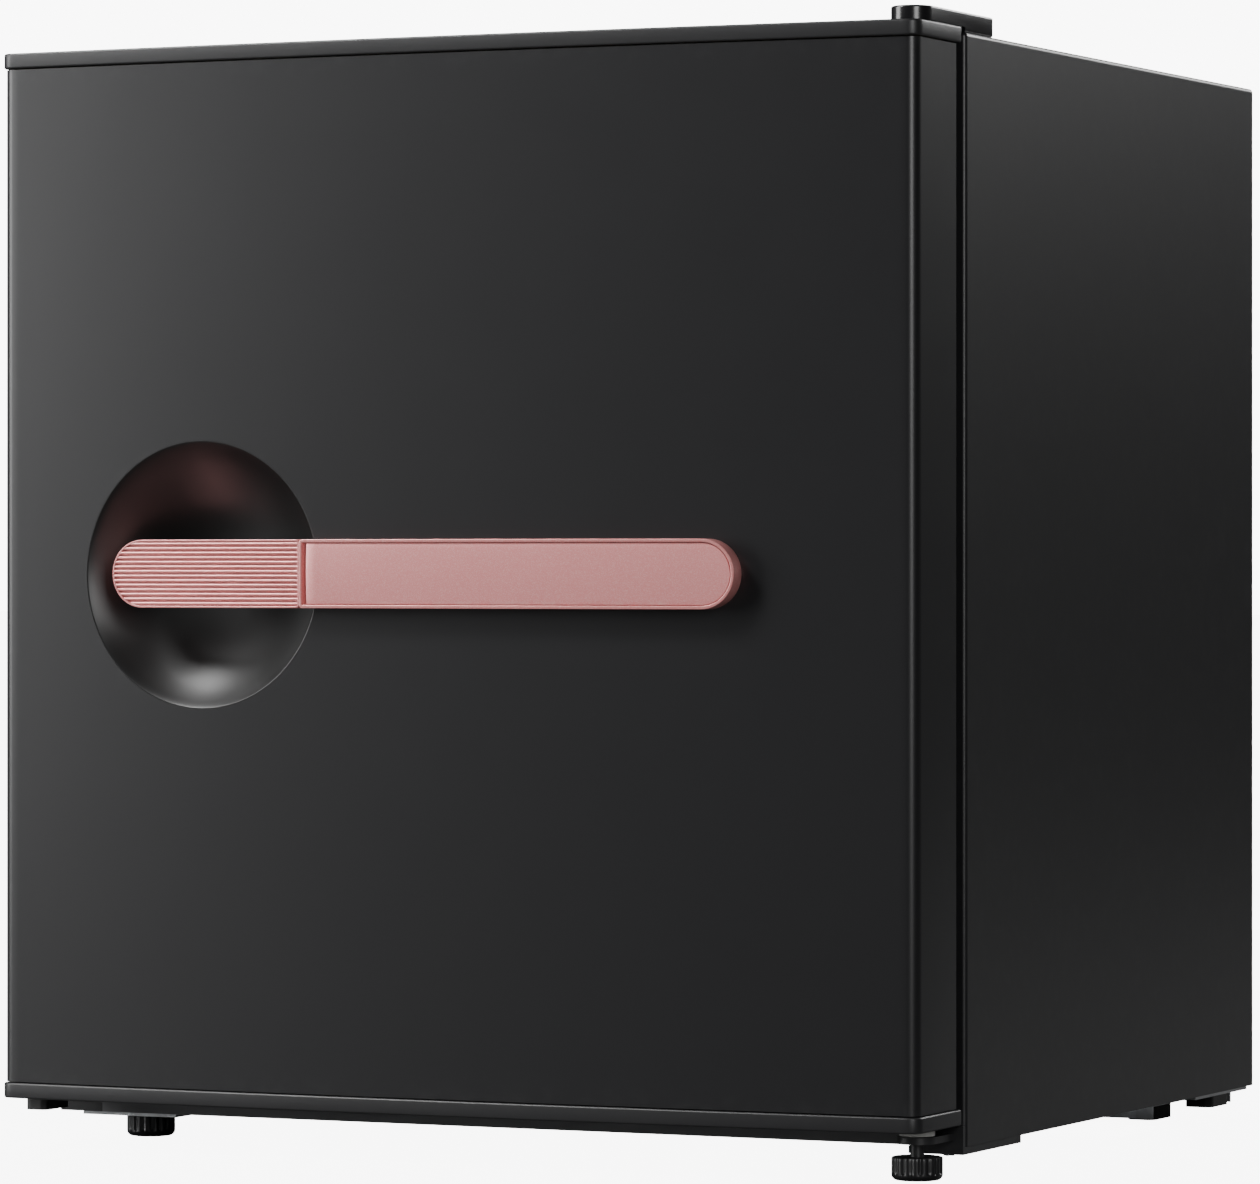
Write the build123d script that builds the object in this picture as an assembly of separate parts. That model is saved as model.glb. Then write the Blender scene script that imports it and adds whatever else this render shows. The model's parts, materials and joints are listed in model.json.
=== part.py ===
"""Compact refrigerator with a bowed door, round finger recess, chiller box and rear condenser.

Frame: +X to the right, +Y to the back, +Z up, millimetres.  The origin is at the middle of the
footprint, on the floor.  The door faces -Y and is hinged on the right.
"""

from build123d import *
import math
import os

# Overall sizes
WIDTH = 445.0
HALF = WIDTH / 2
DEPTH = 471.0
SHEET = 1.0                                  # steel sheet of cabinet and door
BOW = 5.6                                    # how far the door front bulges at its middle
HANDLE_PROUD = 8.0                           # handle front ahead of the door front
FRONT = -DEPTH / 2 + BOW + HANDLE_PROUD - SHEET    # plane through the door's front corners
REAR = DEPTH / 2
BOW_RADIUS = (HALF ** 2 + BOW ** 2) / (2 * BOW)

# Planes across the depth, measured back from the door's front corners
PANEL_BACK = FRONT + 44.3
CAP_BACK = FRONT + 48.3
CABINET_FRONT = FRONT + 52.9
CABINET_BACK = FRONT + 414.3

# Heights
CABINET_BOTTOM, CABINET_TOP = 12.5, 487.4
DOOR_BOTTOM, DOOR_TOP = 21.9, 489.2
CAP_HEIGHT = 7.4
COVER_TOP = 495.9

# Cabinet construction
EDGE_RADIUS = 2.0
FLANGE = 22.5                                # steel flange round the cabinet's front
LINER_WALL = 2.0
LINER_HALF = 188.0                           # inside of the food space
LINER_FLOOR, LINER_TOP = 47.0, 454.0
LINER_BACK = 152.0
LIP = 12.0                                   # liner lip on the cabinet's front face
BAY_FRONT, BAY_TOP = 62.0, 168.0             # compressor bay at the bottom rear
STEP_FRONT, STEP_TOP = 28.0, 202.0           # the liner's step over that bay
RIB = 5.0                                    # shelf ribs stand this far into the food space
SHELF_LEVEL = 214.0
TRAY_LEVEL = 350.0

# Chiller box and its flap
CHILLER_HALF = 170.0
CHILLER_FRONT, CHILLER_BACK = -41.0, 135.0
CHILLER_BOTTOM, CHILLER_TOP = 368.0, 442.0
CHILLER_WALL = 1.5
FLAP_PIVOT = (CHILLER_FRONT - 5.0, 436.0)    # y, z of the flap's axis

# Door hinge axis and feet
PIN_X = 209.5
PIN_Y = FRONT + 30.0
PIN_RADIUS = 3.0
LOWER_PIN_RADIUS = 4.5
RUNNING_GAP = 0.05
LEFT_FOOT = (-190.0, FRONT + 80.0)
RIGHT_FOOT = (PIN_X, PIN_Y)
FOOT_RADIUS, FOOT_HEIGHT = 11.0, 10.0
STEM_RADIUS = 3.0
LUG_BOTTOM, LUG_TOP = 15.4, 18.4             # lower hinge lug under the door
BRACKET_BOTTOM = 9.2

# Handle and finger recess
RECESS_X, RECESS_Z, RECESS_RADIUS, RECESS_DEPTH = -117.9, 256.0, 59.5, 24.0
HANDLE_LEFT, HANDLE_RIGHT, HANDLE_Z, HANDLE_TALL = -159.0, 142.5, 256.5, 30.0
GRIP_END, INLAY_START = -64.5, -61.5
HANDLE_BASE = 6.3                            # thickness of the bar under grip and inlay
HANDLE_RIM = 1.4
GRIP_RIBS = 14

# Cooling circuit
COMPRESSOR = (-20.0, 172.0)
COMPRESSOR_RADIUS = 54.0
COMPRESSOR_BOTTOM, COMPRESSOR_TOP = 20.0, 118.0
COIL_Y = CABINET_BACK + 12.0
COIL_TUBE, COIL_WIRE = 2.4, 0.8
COIL_HALF = 165.0
COIL_BOTTOM, COIL_PITCH, COIL_RUNS = 190.0, 38.0, 8
BASE_PLATE_HALF = 198.0
BASE_FRONT, BASE_BACK = 121.0, 229.0         # the compressor's base plate
DRAIN = (-20.0, 134.0)
GLAND_X = 154.0
DRIER_X = -200.0
DRIER_BOTTOM, DRIER_TOP = 52.0, 118.0
NECK = 12.0                                  # necked ends of the filter drier

parts = {}


# Helpers ----------------------------------------------------------------------------------

def block(x0, x1, y0, y1, z0, z1):
    """Box between two corners."""
    return Pos((x0 + x1) / 2, (y0 + y1) / 2, (z0 + z1) / 2) * Box(x1 - x0, y1 - y0, z1 - z0)


def frame_block(half, y0, y1, z0, z1):
    """Box that is symmetric left to right."""
    return block(-half, half, y0, y1, z0, z1)


def post(x, y, z0, z1, radius):
    """Upright cylinder."""
    return Pos(x, y, (z0 + z1) / 2) * Cylinder(radius, z1 - z0)


def rod_x(x0, x1, y, z, radius):
    """Cylinder along X."""
    return Pos((x0 + x1) / 2, y, z) * Rot(0, 90, 0) * Cylinder(radius, x1 - x0)


def rod_y(x, y0, y1, z, radius):
    """Cylinder along Y."""
    return Pos(x, (y0 + y1) / 2, z) * Rot(90, 0, 0) * Cylinder(radius, y1 - y0)


def mirrored(shape):
    """A shape and its left-right mirror image."""
    return shape + mirror(shape, about=Plane.YZ)


def tube(points, radius, bend):
    """Round tube along straight runs joined by arcs."""
    path = FilletPolyline(*points, radius=bend)
    start = Plane(path @ 0, z_dir=path % 0)
    return sweep(start * Circle(radius), path=path)


def side_profile(points, half, radius=0.0):
    """Prism across the width from a (y, z) outline."""
    face = make_face(Polyline(*points, close=True))
    if radius:
        face = fillet(face.vertices(), radius)
    return extrude(Plane.YZ * face, amount=half, both=True)


def rounded_plan(x0, x1, y0, y1, z0, z1, radius):
    """Upright prism with four rounded corners."""
    plan = Pos((x0 + x1) / 2, (y0 + y1) / 2) * RectangleRounded(x1 - x0, y1 - y0, radius)
    return extrude(Pos(0, 0, z0) * plan, amount=z1 - z0)


def screw(x, y, z, head_radius, head, shank_radius, shank, turn=None):
    """Pan-head screw with its head's seat at (x, y, z); it points down unless turned."""
    pan = Pos(0, 0, head / 2) * Cylinder(head_radius, head)
    pan = fillet(pan.edges().sort_by(Axis.Z)[-1], head * 0.45)
    slot = Pos(0, 0, head) * Box(head_radius * 1.5, head_radius * 0.3, head * 0.7)
    cross = Pos(0, 0, head) * Box(head_radius * 0.3, head_radius * 1.5, head * 0.7)
    body = pan - slot - cross + Pos(0, 0, -shank / 2) * Cylinder(shank_radius, shank)
    return Pos(x, y, z) * (turn or Rot(0, 0, 0)) * body


# Cabinet ----------------------------------------------------------------------------------

def cabinet_envelope(inset, back):
    """Outside of the cabinet, drawn in by inset, with rounded front and top edges."""
    half = HALF - inset
    front = CABINET_FRONT + inset
    body = frame_block(half, front, back, CABINET_BOTTOM + inset, CABINET_TOP - inset)
    edges = body.edges().filter_by(Axis.Z).sort_by(Axis.Y)[:2]
    edges += body.edges().filter_by(Axis.Y).sort_by(Axis.Z)[-2:]
    edges += body.edges().filter_by(Axis.X).group_by(Axis.Z)[-1].sort_by(Axis.Y)[:1]
    return fillet(edges, EDGE_RADIUS - inset)


def outer_shell():
    """Steel wrap: both sides and the top, with flanges at the front and under the sides."""
    shell = cabinet_envelope(0, CABINET_BACK) - cabinet_envelope(SHEET, CABINET_BACK + 1)
    opening = HALF - FLANGE
    lid = CABINET_TOP - FLANGE
    shell -= frame_block(opening, CABINET_FRONT - 1, CABINET_FRONT + 2, CABINET_BOTTOM - 1, lid)
    shell -= frame_block(opening, CABINET_FRONT - 1, CABINET_BACK + 1,
                         CABINET_BOTTOM - 1, CABINET_BOTTOM + 2)
    return shell


def liner_solid(grow):
    """The food space as a solid, grown by the liner's wall where asked."""
    outline = [
        (CABINET_FRONT - 1, LINER_FLOOR - grow), (STEP_FRONT + grow, LINER_FLOOR - grow),
        (STEP_FRONT + grow, STEP_TOP - grow), (LINER_BACK + grow, STEP_TOP - grow),
        (LINER_BACK + grow, LINER_TOP + grow), (CABINET_FRONT - 1, LINER_TOP + grow),
    ]
    face = make_face(Polyline(*outline, close=True))
    inner_corners = face.vertices().sort_by(Axis.X)[2:]
    face = fillet(inner_corners, 10 + grow)
    body = extrude(Plane.YZ * face, amount=LINER_HALF + grow, both=True)
    long_edges = [
        edge for edge in body.edges()
        if abs(abs(edge.center().X) - LINER_HALF - grow) < 0.01
        and edge.center().Y > CABINET_FRONT - 0.9
    ]
    return fillet(long_edges, 8 + grow)


def inner_liner():
    """Moulded tub with a step over the compressor bay, shelf ribs and a front lip."""
    hollow = liner_solid(0)
    tub = liner_solid(LINER_WALL)
    tub += frame_block(LINER_HALF + LIP - 0.2, CABINET_FRONT, CABINET_FRONT + LINER_WALL,
                       LINER_FLOOR - LIP + 1, LINER_TOP + LIP - 1.2)
    tub -= hollow
    tub -= frame_block(HALF, CABINET_FRONT - 2, CABINET_FRONT, 0, CABINET_TOP)
    inner_rib = LINER_HALF - RIB
    for level, reach in ((SHELF_LEVEL - 6, RIB), (SHELF_LEVEL + 5.6, RIB),
                         (TRAY_LEVEL + 6.2, RIB + 3), (TRAY_LEVEL + 12.6, RIB + 3)):
        rib = block(inner_rib + RIB - reach, LINER_HALF + 1, -135, 130, level, level + 4)
        tub += mirrored(rib)
    return tub


def base_panel():
    """Folded steel floor that steps up over the compressor bay."""
    floor = CABINET_BOTTOM + SHEET
    back = CABINET_BACK - 3
    outline = [
        (CABINET_FRONT + 6, floor), (BAY_FRONT, floor), (BAY_FRONT, BAY_TOP - SHEET),
        (back, BAY_TOP - SHEET), (back, BAY_TOP), (BAY_FRONT - SHEET, BAY_TOP),
        (BAY_FRONT - SHEET, floor + SHEET), (CABINET_FRONT + 6, floor + SHEET),
    ]
    return side_profile(outline, HALF - SHEET)


def front_sill():
    """Cross member under the door opening, folded back along the floor."""
    half = HALF - FLANGE
    face = frame_block(half, CABINET_FRONT, CABINET_FRONT + SHEET,
                       CABINET_BOTTOM, LINER_FLOOR - LIP + 0.9)
    return face + frame_block(half, CABINET_FRONT, CABINET_FRONT + 24,
                              CABINET_BOTTOM, CABINET_BOTTOM + SHEET)


def back_panel():
    """Steel back with four long stiffening beads."""
    y = CABINET_BACK - 3
    sheet = frame_block(HALF - SHEET, y, y + SHEET, BAY_TOP - SHEET, CABINET_TOP - SHEET)
    for x in (-150, -50, 50, 150):
        sheet += block(x - 6, x + 6, y + SHEET, y + SHEET + 1.2, 200, 455)
    return sheet & cabinet_envelope(SHEET, CABINET_BACK)


def cabinet_foam():
    """Foamed insulation between the steel skins and the liner."""
    foam = cabinet_envelope(SHEET, CABINET_BACK - 3)
    foam -= frame_block(HALF, CABINET_FRONT, CABINET_FRONT + LINER_WALL, 0, CABINET_TOP)
    foam -= frame_block(HALF, -DEPTH, DEPTH, 0, CABINET_BOTTOM + 2 * SHEET)
    foam -= frame_block(HALF, BAY_FRONT - SHEET, DEPTH, 0, BAY_TOP)
    foam -= frame_block(HALF, CABINET_FRONT, CABINET_FRONT + 24.5, 0, CABINET_BOTTOM + 2 * SHEET)
    return foam - liner_solid(LINER_WALL)


def hinge_hole_plugs():
    """Three caps in the unused hinge holes at the top left, for a left-hung door."""
    plugs = Part()
    for y in (CABINET_FRONT + 14, CABINET_FRONT + 24, CABINET_FRONT + 34):
        head = post(-PIN_X, y, CABINET_TOP, CABINET_TOP + 1.2, 3.6)
        plugs += fillet(head.edges().sort_by(Axis.Z)[-1], 0.8)
    return plugs


# Inside fittings --------------------------------------------------------------------------

def chiller_box():
    """Folded aluminium evaporator, open at the front, with ears for the flap's pins."""
    outer = frame_block(CHILLER_HALF, CHILLER_FRONT, CHILLER_BACK, CHILLER_BOTTOM, CHILLER_TOP)
    wall = CHILLER_WALL
    hollow = frame_block(CHILLER_HALF - wall, CHILLER_FRONT - 1, CHILLER_BACK - wall,
                         CHILLER_BOTTOM + wall, CHILLER_TOP - wall)
    box = outer - hollow
    y, z = FLAP_PIVOT
    ear = block(CHILLER_HALF - wall, CHILLER_HALF, y - 6, CHILLER_FRONT, z - 8, CHILLER_TOP)
    ear -= rod_x(CHILLER_HALF - 5, CHILLER_HALF + 5, y, z, 2 + RUNNING_GAP)
    box += mirrored(ear)
    for run in range(7):
        y = CHILLER_FRONT + 25 + run * 22
        box += frame_block(CHILLER_HALF - 22, y - 3, y + 3, CHILLER_BOTTOM - 1.4, CHILLER_BOTTOM)
    return box


def chiller_clips():
    """Four blocks that hang the chiller box from the ceiling."""
    clip = block(118, 138, CHILLER_FRONT + 20, CHILLER_FRONT + 34, CHILLER_TOP, LINER_TOP)
    clip += block(118, 138, CHILLER_BACK - 34, CHILLER_BACK - 20, CHILLER_TOP, LINER_TOP)
    return mirrored(clip)


def chiller_flap():
    """Moulded flap with its two stub pins and a pull lip."""
    y, z = FLAP_PIVOT
    half = CHILLER_HALF - CHILLER_WALL - 1.5
    flap = frame_block(half, y - 2.5, y + 2.5, CHILLER_BOTTOM + 2, z)
    flap += rod_x(-half, half, y, z, 3.2)
    pull = frame_block(40, y - 9, y - 2.5, CHILLER_BOTTOM + 8, CHILLER_BOTTOM + 11)
    pull += frame_block(40, y - 9, y - 7, CHILLER_BOTTOM + 4, CHILLER_BOTTOM + 11)
    flap += pull
    recess = frame_block(half - 10, y - 3.5, y - 1.5, CHILLER_BOTTOM + 14, z - 10)
    flap -= recess
    return flap + rod_x(-CHILLER_HALF - 1.5, CHILLER_HALF + 1.5, y, z, 2.0)


def drip_tray():
    """Shallow tray that slides on ribs under the chiller box."""
    half = LINER_HALF - 26
    tray = rounded_plan(-half, half, CHILLER_FRONT + 4, CHILLER_BACK - 6, TRAY_LEVEL,
                        TRAY_LEVEL + 12, 8)
    tray -= rounded_plan(-half + 1.6, half - 1.6, CHILLER_FRONT + 5.6, CHILLER_BACK - 7.6,
                         TRAY_LEVEL + 1.6, TRAY_LEVEL + 13, 6.5)
    runner = block(half - 0.5, LINER_HALF - 1.5, CHILLER_FRONT + 14, CHILLER_BACK - 16,
                   TRAY_LEVEL + 10.5, TRAY_LEVEL + 12)
    tray += mirrored(runner)
    lip = frame_block(60, CHILLER_FRONT - 2, CHILLER_FRONT + 4.5, TRAY_LEVEL + 9, TRAY_LEVEL + 12)
    return tray + lip


def wire_shelf():
    """Wire shelf: a round-cornered rim, front to back wires and two cross wires."""
    half = LINER_HALF - 2.0
    front, back = -74.0, 138.0
    level = SHELF_LEVEL + 2.0
    rim = Pos(0, (front + back) / 2) * (
        RectangleRounded(2 * half, back - front, 10)
        - RectangleRounded(2 * half - 6, back - front - 6, 7))
    shelf = extrude(Pos(0, 0, level - 3.6 / 2) * rim, amount=3.6)
    for y in (front + 45, back - 45):
        shelf += frame_block(half - 2, y - 1.5, y + 1.5, level - 1.8, level - 0.2)
    count = 17
    for index in range(count):
        x = (index - (count - 1) / 2) * (2 * half - 30) / (count - 1)
        shelf += rod_y(x, front + 2, back - 2, level + 0.4, 1.2)
    return shelf


def thermostat_housing():
    """Box on the right wall that holds the thermostat and the lamp, with vent slots."""
    housing = block(158, LINER_HALF, -34, 46, 286, 338)
    edges = housing.edges().group_by(Axis.X)[0]
    housing = fillet(edges, 6)
    for index in range(5):
        z = 296 + index * 8
        housing -= block(156, 160, 20, 38, z, z + 3)
    return housing - rod_x(150, 170, -4, 312, 4.3)


def thermostat_knob():
    """Dial with a pointer ridge; its spindle turns in the housing."""
    dial = rod_x(147, 157.6, -4, 312, 14)
    dial = fillet(dial.edges().sort_by(Axis.X)[0], 2)
    ridge = block(143.5, 148, -6, -2, 300, 324)
    return dial + ridge + rod_x(157, 169, -4, 312, 4)


# Cooling circuit --------------------------------------------------------------------------

def compressor():
    """Hermetic compressor can: lower pan, domed lid, weld seam and mounting plate."""
    x, y = COMPRESSOR
    can = post(x, y, COMPRESSOR_BOTTOM, COMPRESSOR_TOP, COMPRESSOR_RADIUS)
    can = fillet(can.edges().sort_by(Axis.Z)[-1], 30)
    can = fillet(can.edges().sort_by(Axis.Z)[0], 10)
    seam_level = COMPRESSOR_BOTTOM + 52
    can += post(x, y, seam_level, seam_level + 4, COMPRESSOR_RADIUS + 2)
    foot = rounded_plan(x - 84, x + 84, y - 38, y + 38, 18, 20.5, 10)
    for dx in (-74, 74):
        for dy in (-28, 28):
            foot -= post(x + dx, y + dy, 10, 30, 6)
    return can + foot


def compressor_mount(build):
    """One piece at each of the four compressor mounting points."""
    x, y = COMPRESSOR
    group = Part()
    for dx in (-74, 74):
        for dy in (-28, 28):
            group += build(x + dx, y + dy)
    return group


def grommet(x, y):
    """Rubber grommet with a waist for the mounting plate."""
    body = post(x, y, 8.5, 23, 9) - post(x, y, 0, 40, 3.3)
    waist = post(x, y, 18, 20.5, 10) - post(x, y, 18, 20.5, 6)
    return body - waist


def mount_bolt(x, y):
    """Bolt, washer and nut through the grommet and base plate."""
    return post(x, y, 4.0, 23, 3.2) + post(x, y, 23, 24.2, 8) + extrude(
        Pos(x, y, 24.2) * RegularPolygon(5.5, 6), amount=5)


def relay_cover():
    """Plastic cover over the compressor's relay and terminals."""
    x, y = COMPRESSOR
    cover = block(x + 50, x + 84, y - 22, y + 22, 46, 96)
    cover = fillet(cover.edges().group_by(Axis.X)[-1], 5)
    return cover


def evaporation_tray():
    """Tray on top of the compressor that dries off the defrost water."""
    x, y = COMPRESSOR
    tray = rounded_plan(x - 78, x + 78, y - 50, y + 50, COMPRESSOR_TOP, COMPRESSOR_TOP + 20, 12)
    tray -= rounded_plan(x - 76, x + 76, y - 48, y + 48, COMPRESSOR_TOP + 2,
                         COMPRESSOR_TOP + 22, 10)
    return tray


def drain_tube():
    """Drain from the liner's step to the evaporation tray."""
    return post(*DRAIN, COMPRESSOR_TOP + 12, STEP_TOP - LINER_WALL, 6) - post(
        *DRAIN, 0, STEP_TOP, 4.5)


def base_plate():
    """Steel tray across the bay, folded down at front and back, hung from the side flanges."""
    half = BASE_PLATE_HALF
    plate = frame_block(half, BASE_FRONT, BASE_BACK, 6.5, 8.5)
    plate += frame_block(half, BASE_FRONT, BASE_FRONT + 1.6, 0.8, 8.5)
    plate += frame_block(half, BASE_BACK - 1.6, BASE_BACK, 0.8, 8.5)
    wall = block(half - 2, half, BASE_FRONT, CABINET_BACK, 8.5, 12.5)
    flange = block(half - 2, HALF - 3, BASE_FRONT, CABINET_BACK, 10.5, 12.5)
    plate += mirrored(wall + flange)
    tab = block(GLAND_X - 16, GLAND_X + 16, BASE_BACK - 2, BASE_BACK, 8.5, 36)
    tab -= rod_y(GLAND_X, BASE_BACK - 3, BASE_BACK + 1, 24, 6)
    return plate + tab


def cord_gland():
    """Flanged gland in the base plate's tab, where a mains lead would enter."""
    y = BASE_BACK
    gland = rod_y(GLAND_X, y - 8, y + 6, 24, 6) + rod_y(GLAND_X, y, y + 2.5, 24, 9)
    return gland - rod_y(GLAND_X, y - 9, y + 7, 24, 3.8)


def rear_pads():
    """Rubber pads under the base plate that the rear of the cabinet stands on."""
    half = BASE_PLATE_HALF
    front_pad = rounded_plan(half - 14, half, BASE_FRONT + 2, BASE_FRONT + 28, 0, 6.5, 4)
    back_pad = rounded_plan(half - 14, half, BASE_BACK - 28, BASE_BACK - 2, 0, 6.5, 4)
    return mirrored(front_pad + back_pad)


def wall_spacers():
    """Plastic spacers that keep the back away from a wall."""
    inner, outer = BASE_PLATE_HALF - 22, BASE_PLATE_HALF - 2.5
    arm = block(inner, outer, BASE_BACK, REAR, 1.5, 10.4)
    arm += block(inner, outer, BASE_BACK - 14, BASE_BACK, 8.5, 10.4)
    arm = fillet(arm.edges().filter_by(Axis.Z).sort_by(Axis.Y)[-2:], 5)
    return mirrored(arm)


def coil_level(run):
    """Height of one horizontal run of the condenser coil."""
    return COIL_BOTTOM + run * COIL_PITCH


def condenser_coil():
    """Serpentine condenser tube behind the back panel."""
    bend = COIL_PITCH / 2
    edges = []
    for run in range(COIL_RUNS):
        side = 1 if run % 2 == 0 else -1
        level = coil_level(run)
        edges.append(Line((-side * COIL_HALF, COIL_Y, level), (side * COIL_HALF, COIL_Y, level)))
        if run < COIL_RUNS - 1:
            edges.append(ThreePointArc(
                (side * COIL_HALF, COIL_Y, level),
                (side * (COIL_HALF + bend), COIL_Y, level + bend),
                (side * COIL_HALF, COIL_Y, level + COIL_PITCH)))
    path = Wire(edges)
    start = Plane(path @ 0, z_dir=path % 0)
    return sweep(start * Circle(COIL_TUBE), path=path)


def condenser_wires():
    """Upright wires on both faces of the coil."""
    wires = Part()
    low, high = coil_level(0) - 14, coil_level(COIL_RUNS - 1) + 10
    reach = COIL_TUBE + COIL_WIRE
    count = 23
    for index in range(count):
        x = (index - (count - 1) / 2) * 14.0
        for side in (-1, 1):
            wires += post(x, COIL_Y + side * reach, low, high, COIL_WIRE)
    return wires


def condenser_brackets():
    """Four clips that hold the coil's bends off the back panel."""
    group = Part()
    foot = CABINET_BACK - 2
    for run in (0, 1, 5, 6):
        level = coil_level(run) + COIL_PITCH / 2
        clip = block(176, 192, foot, foot + 1.5, level - 9, level + 9)
        clip += block(187.5, 189.5, foot, COIL_Y + 4, level - 9, level + 9)
        clip += block(176, 189.5, COIL_Y + 2.6, COIL_Y + 4, level - 9, level + 9)
        group += mirror(clip, about=Plane.YZ) if run % 2 else clip
    return group


def filter_drier():
    """Copper filter drier with necked ends, under the coil's return."""
    drier = post(DRIER_X, COIL_Y, DRIER_BOTTOM, DRIER_TOP, 9)
    drier = fillet(drier.edges().group_by(Axis.Z)[0] + drier.edges().group_by(Axis.Z)[-1], 5)
    drier += post(DRIER_X, COIL_Y, DRIER_BOTTOM - NECK, DRIER_BOTTOM + 2, 3.4)
    return drier + post(DRIER_X, COIL_Y, DRIER_TOP - 2, DRIER_TOP + NECK, 3.4)


def pipework():
    """Discharge, return, suction and capillary pipes of the cooling circuit."""
    x, y = COMPRESSOR
    left = -COIL_HALF - 13
    discharge = tube([(x - 40, y, 76), (left, y, 76), (left, COIL_Y, 76),
                      (left, COIL_Y, COIL_BOTTOM), (-COIL_HALF, COIL_Y, COIL_BOTTOM)],
                     COIL_TUBE, 9)
    top = coil_level(COIL_RUNS - 1)
    returned = tube([(-COIL_HALF, COIL_Y, top), (DRIER_X, COIL_Y, top),
                     (DRIER_X, COIL_Y, DRIER_TOP + NECK)], COIL_TUBE, 12)
    suction = tube([(x - 30, y - 10, 62), (x - 104, y - 10, 62), (x - 104, y - 40, 62),
                    (x - 104, y - 40, BAY_TOP - SHEET)], 3.0, 10)
    neck = DRIER_BOTTOM - NECK
    capillary = tube([(DRIER_X, COIL_Y, neck), (DRIER_X, COIL_Y, neck - 14),
                      (-160, CABINET_BACK - 7, neck - 14),
                      (-160, CABINET_BACK - 7, BAY_TOP - SHEET)], 1.0, 6)
    return discharge, returned, suction, capillary


# Hinges and feet --------------------------------------------------------------------------

def top_hinge_plate():
    """Plate on the cabinet's top with a raised tongue over the door."""
    outline = [
        (CABINET_FRONT + 30, CABINET_TOP), (CABINET_FRONT + 30, CABINET_TOP + 2),
        (CABINET_FRONT + 4, CABINET_TOP + 2), (CABINET_FRONT + 2, CABINET_TOP + 4.4),
        (FRONT + 14, CABINET_TOP + 4.4), (FRONT + 14, CABINET_TOP + 2.4),
        (CABINET_FRONT - 1, CABINET_TOP + 2.4), (CABINET_FRONT + 1, CABINET_TOP),
    ]
    face = make_face(Polyline(*outline, close=True))
    plate = Pos(204.5, 0, 0) * extrude(Plane.YZ * face, amount=15)
    edges = plate.edges().filter_by(Axis.Z).sort_by(Axis.Y)[:2]
    plate = fillet(edges, 6)
    return plate - post(PIN_X, PIN_Y, 480, 500, PIN_RADIUS)


def top_hinge_screws():
    """Two screws that hold the top hinge plate."""
    return Part() + [screw(212, CABINET_FRONT + dy, CABINET_TOP + 2, 3.4, 2.2, 1.8, 12)
                     for dy in (10, 22)]


def top_hinge_pin():
    """Upper pin, riveted in the top hinge plate."""
    pin = post(PIN_X, PIN_Y, 478, CABINET_TOP + 4.4, PIN_RADIUS)
    return pin + post(PIN_X, PIN_Y, CABINET_TOP + 4.4, CABINET_TOP + 5.6, PIN_RADIUS + 1.4)


def hinge_cover():
    """Gloss cover over the top hinge, round at the front."""
    x0, x1 = 203.0, 221.5
    y0, y1 = FRONT + 9.5, FRONT + 90.6
    nose = (x1 - x0) / 2 - 0.05
    plan = make_face(Polyline((x0, y0), (x1, y0), (x1, y1), (x0, y1), close=True))
    plan = fillet(plan.vertices().sort_by(Axis.Y)[:2], nose)
    plan = fillet(plan.vertices().sort_by(Axis.Y)[-2:], 2)
    cover = extrude(Pos(0, 0, CABINET_TOP + 0.1) * plan, amount=COVER_TOP - CABINET_TOP - 0.1)
    cover = fillet(cover.edges().group_by(Axis.Z)[-1], 1.4)
    cover -= block(x0 - 1, x1 + 1, y0 - 1, CABINET_FRONT + 1.6, CABINET_TOP, DOOR_TOP + 0.4)
    pocket = rounded_plan(x0 + 1.3, x1 - 1.3, FRONT + 12, y1 - 1.5, CABINET_TOP - 1,
                          COVER_TOP - 1.5, 5)
    return cover - pocket


def lower_hinge_bracket():
    """Folded bracket: plate under the cabinet, upright, and a lug under the door."""
    y_up = CABINET_FRONT - 2.5
    bottom, side = BRACKET_BOTTOM, HALF - 0.3
    bracket = block(197, side, y_up, CABINET_FRONT + 64, bottom, CABINET_BOTTOM - 0.1)
    bracket += block(204, side, y_up, CABINET_FRONT - 0.1, bottom, 21.4)
    bracket += block(201, 218, PIN_Y, y_up + 1, LUG_BOTTOM, LUG_TOP)
    bracket += post(PIN_X, PIN_Y, LUG_BOTTOM, LUG_TOP, 8.5)
    bracket -= post(PIN_X, PIN_Y, 0, 40, LOWER_PIN_RADIUS)
    bracket -= block(207, 212, y_up - 1, CABINET_FRONT + 1, 19, 22)
    return bracket


def lower_hinge_screws():
    """Three screws that hold the lower hinge bracket under the cabinet."""
    return Part() + [screw(208, CABINET_FRONT + dy, BRACKET_BOTTOM, 4.0, 2.2, 2.0, 8, Rot(180, 0, 0))
                     for dy in (16, 34, 52)]


def lower_hinge_pin():
    """Hollow lower pin; the right foot's thread runs up inside it."""
    pin = post(PIN_X, PIN_Y, LUG_BOTTOM, 33, LOWER_PIN_RADIUS)
    return pin - post(PIN_X, PIN_Y, 0, 40, STEM_RADIUS + RUNNING_GAP)


def left_foot_bracket():
    """Steel plate and threaded boss for the left foot."""
    x, y = LEFT_FOOT
    bracket = block(x - 24, x + 24, y - 20, y + 20, 10.4, CABINET_BOTTOM - 0.1)
    bracket += post(x, y, 10.4, 12.4, 8)
    return bracket - post(x, y, 0, 40, STEM_RADIUS + RUNNING_GAP)


def foot_stem(x, y):
    """Threaded stem of a levelling foot; its lower end turns in the knob."""
    return post(x, y, 6.0, 26.0, STEM_RADIUS)


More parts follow.
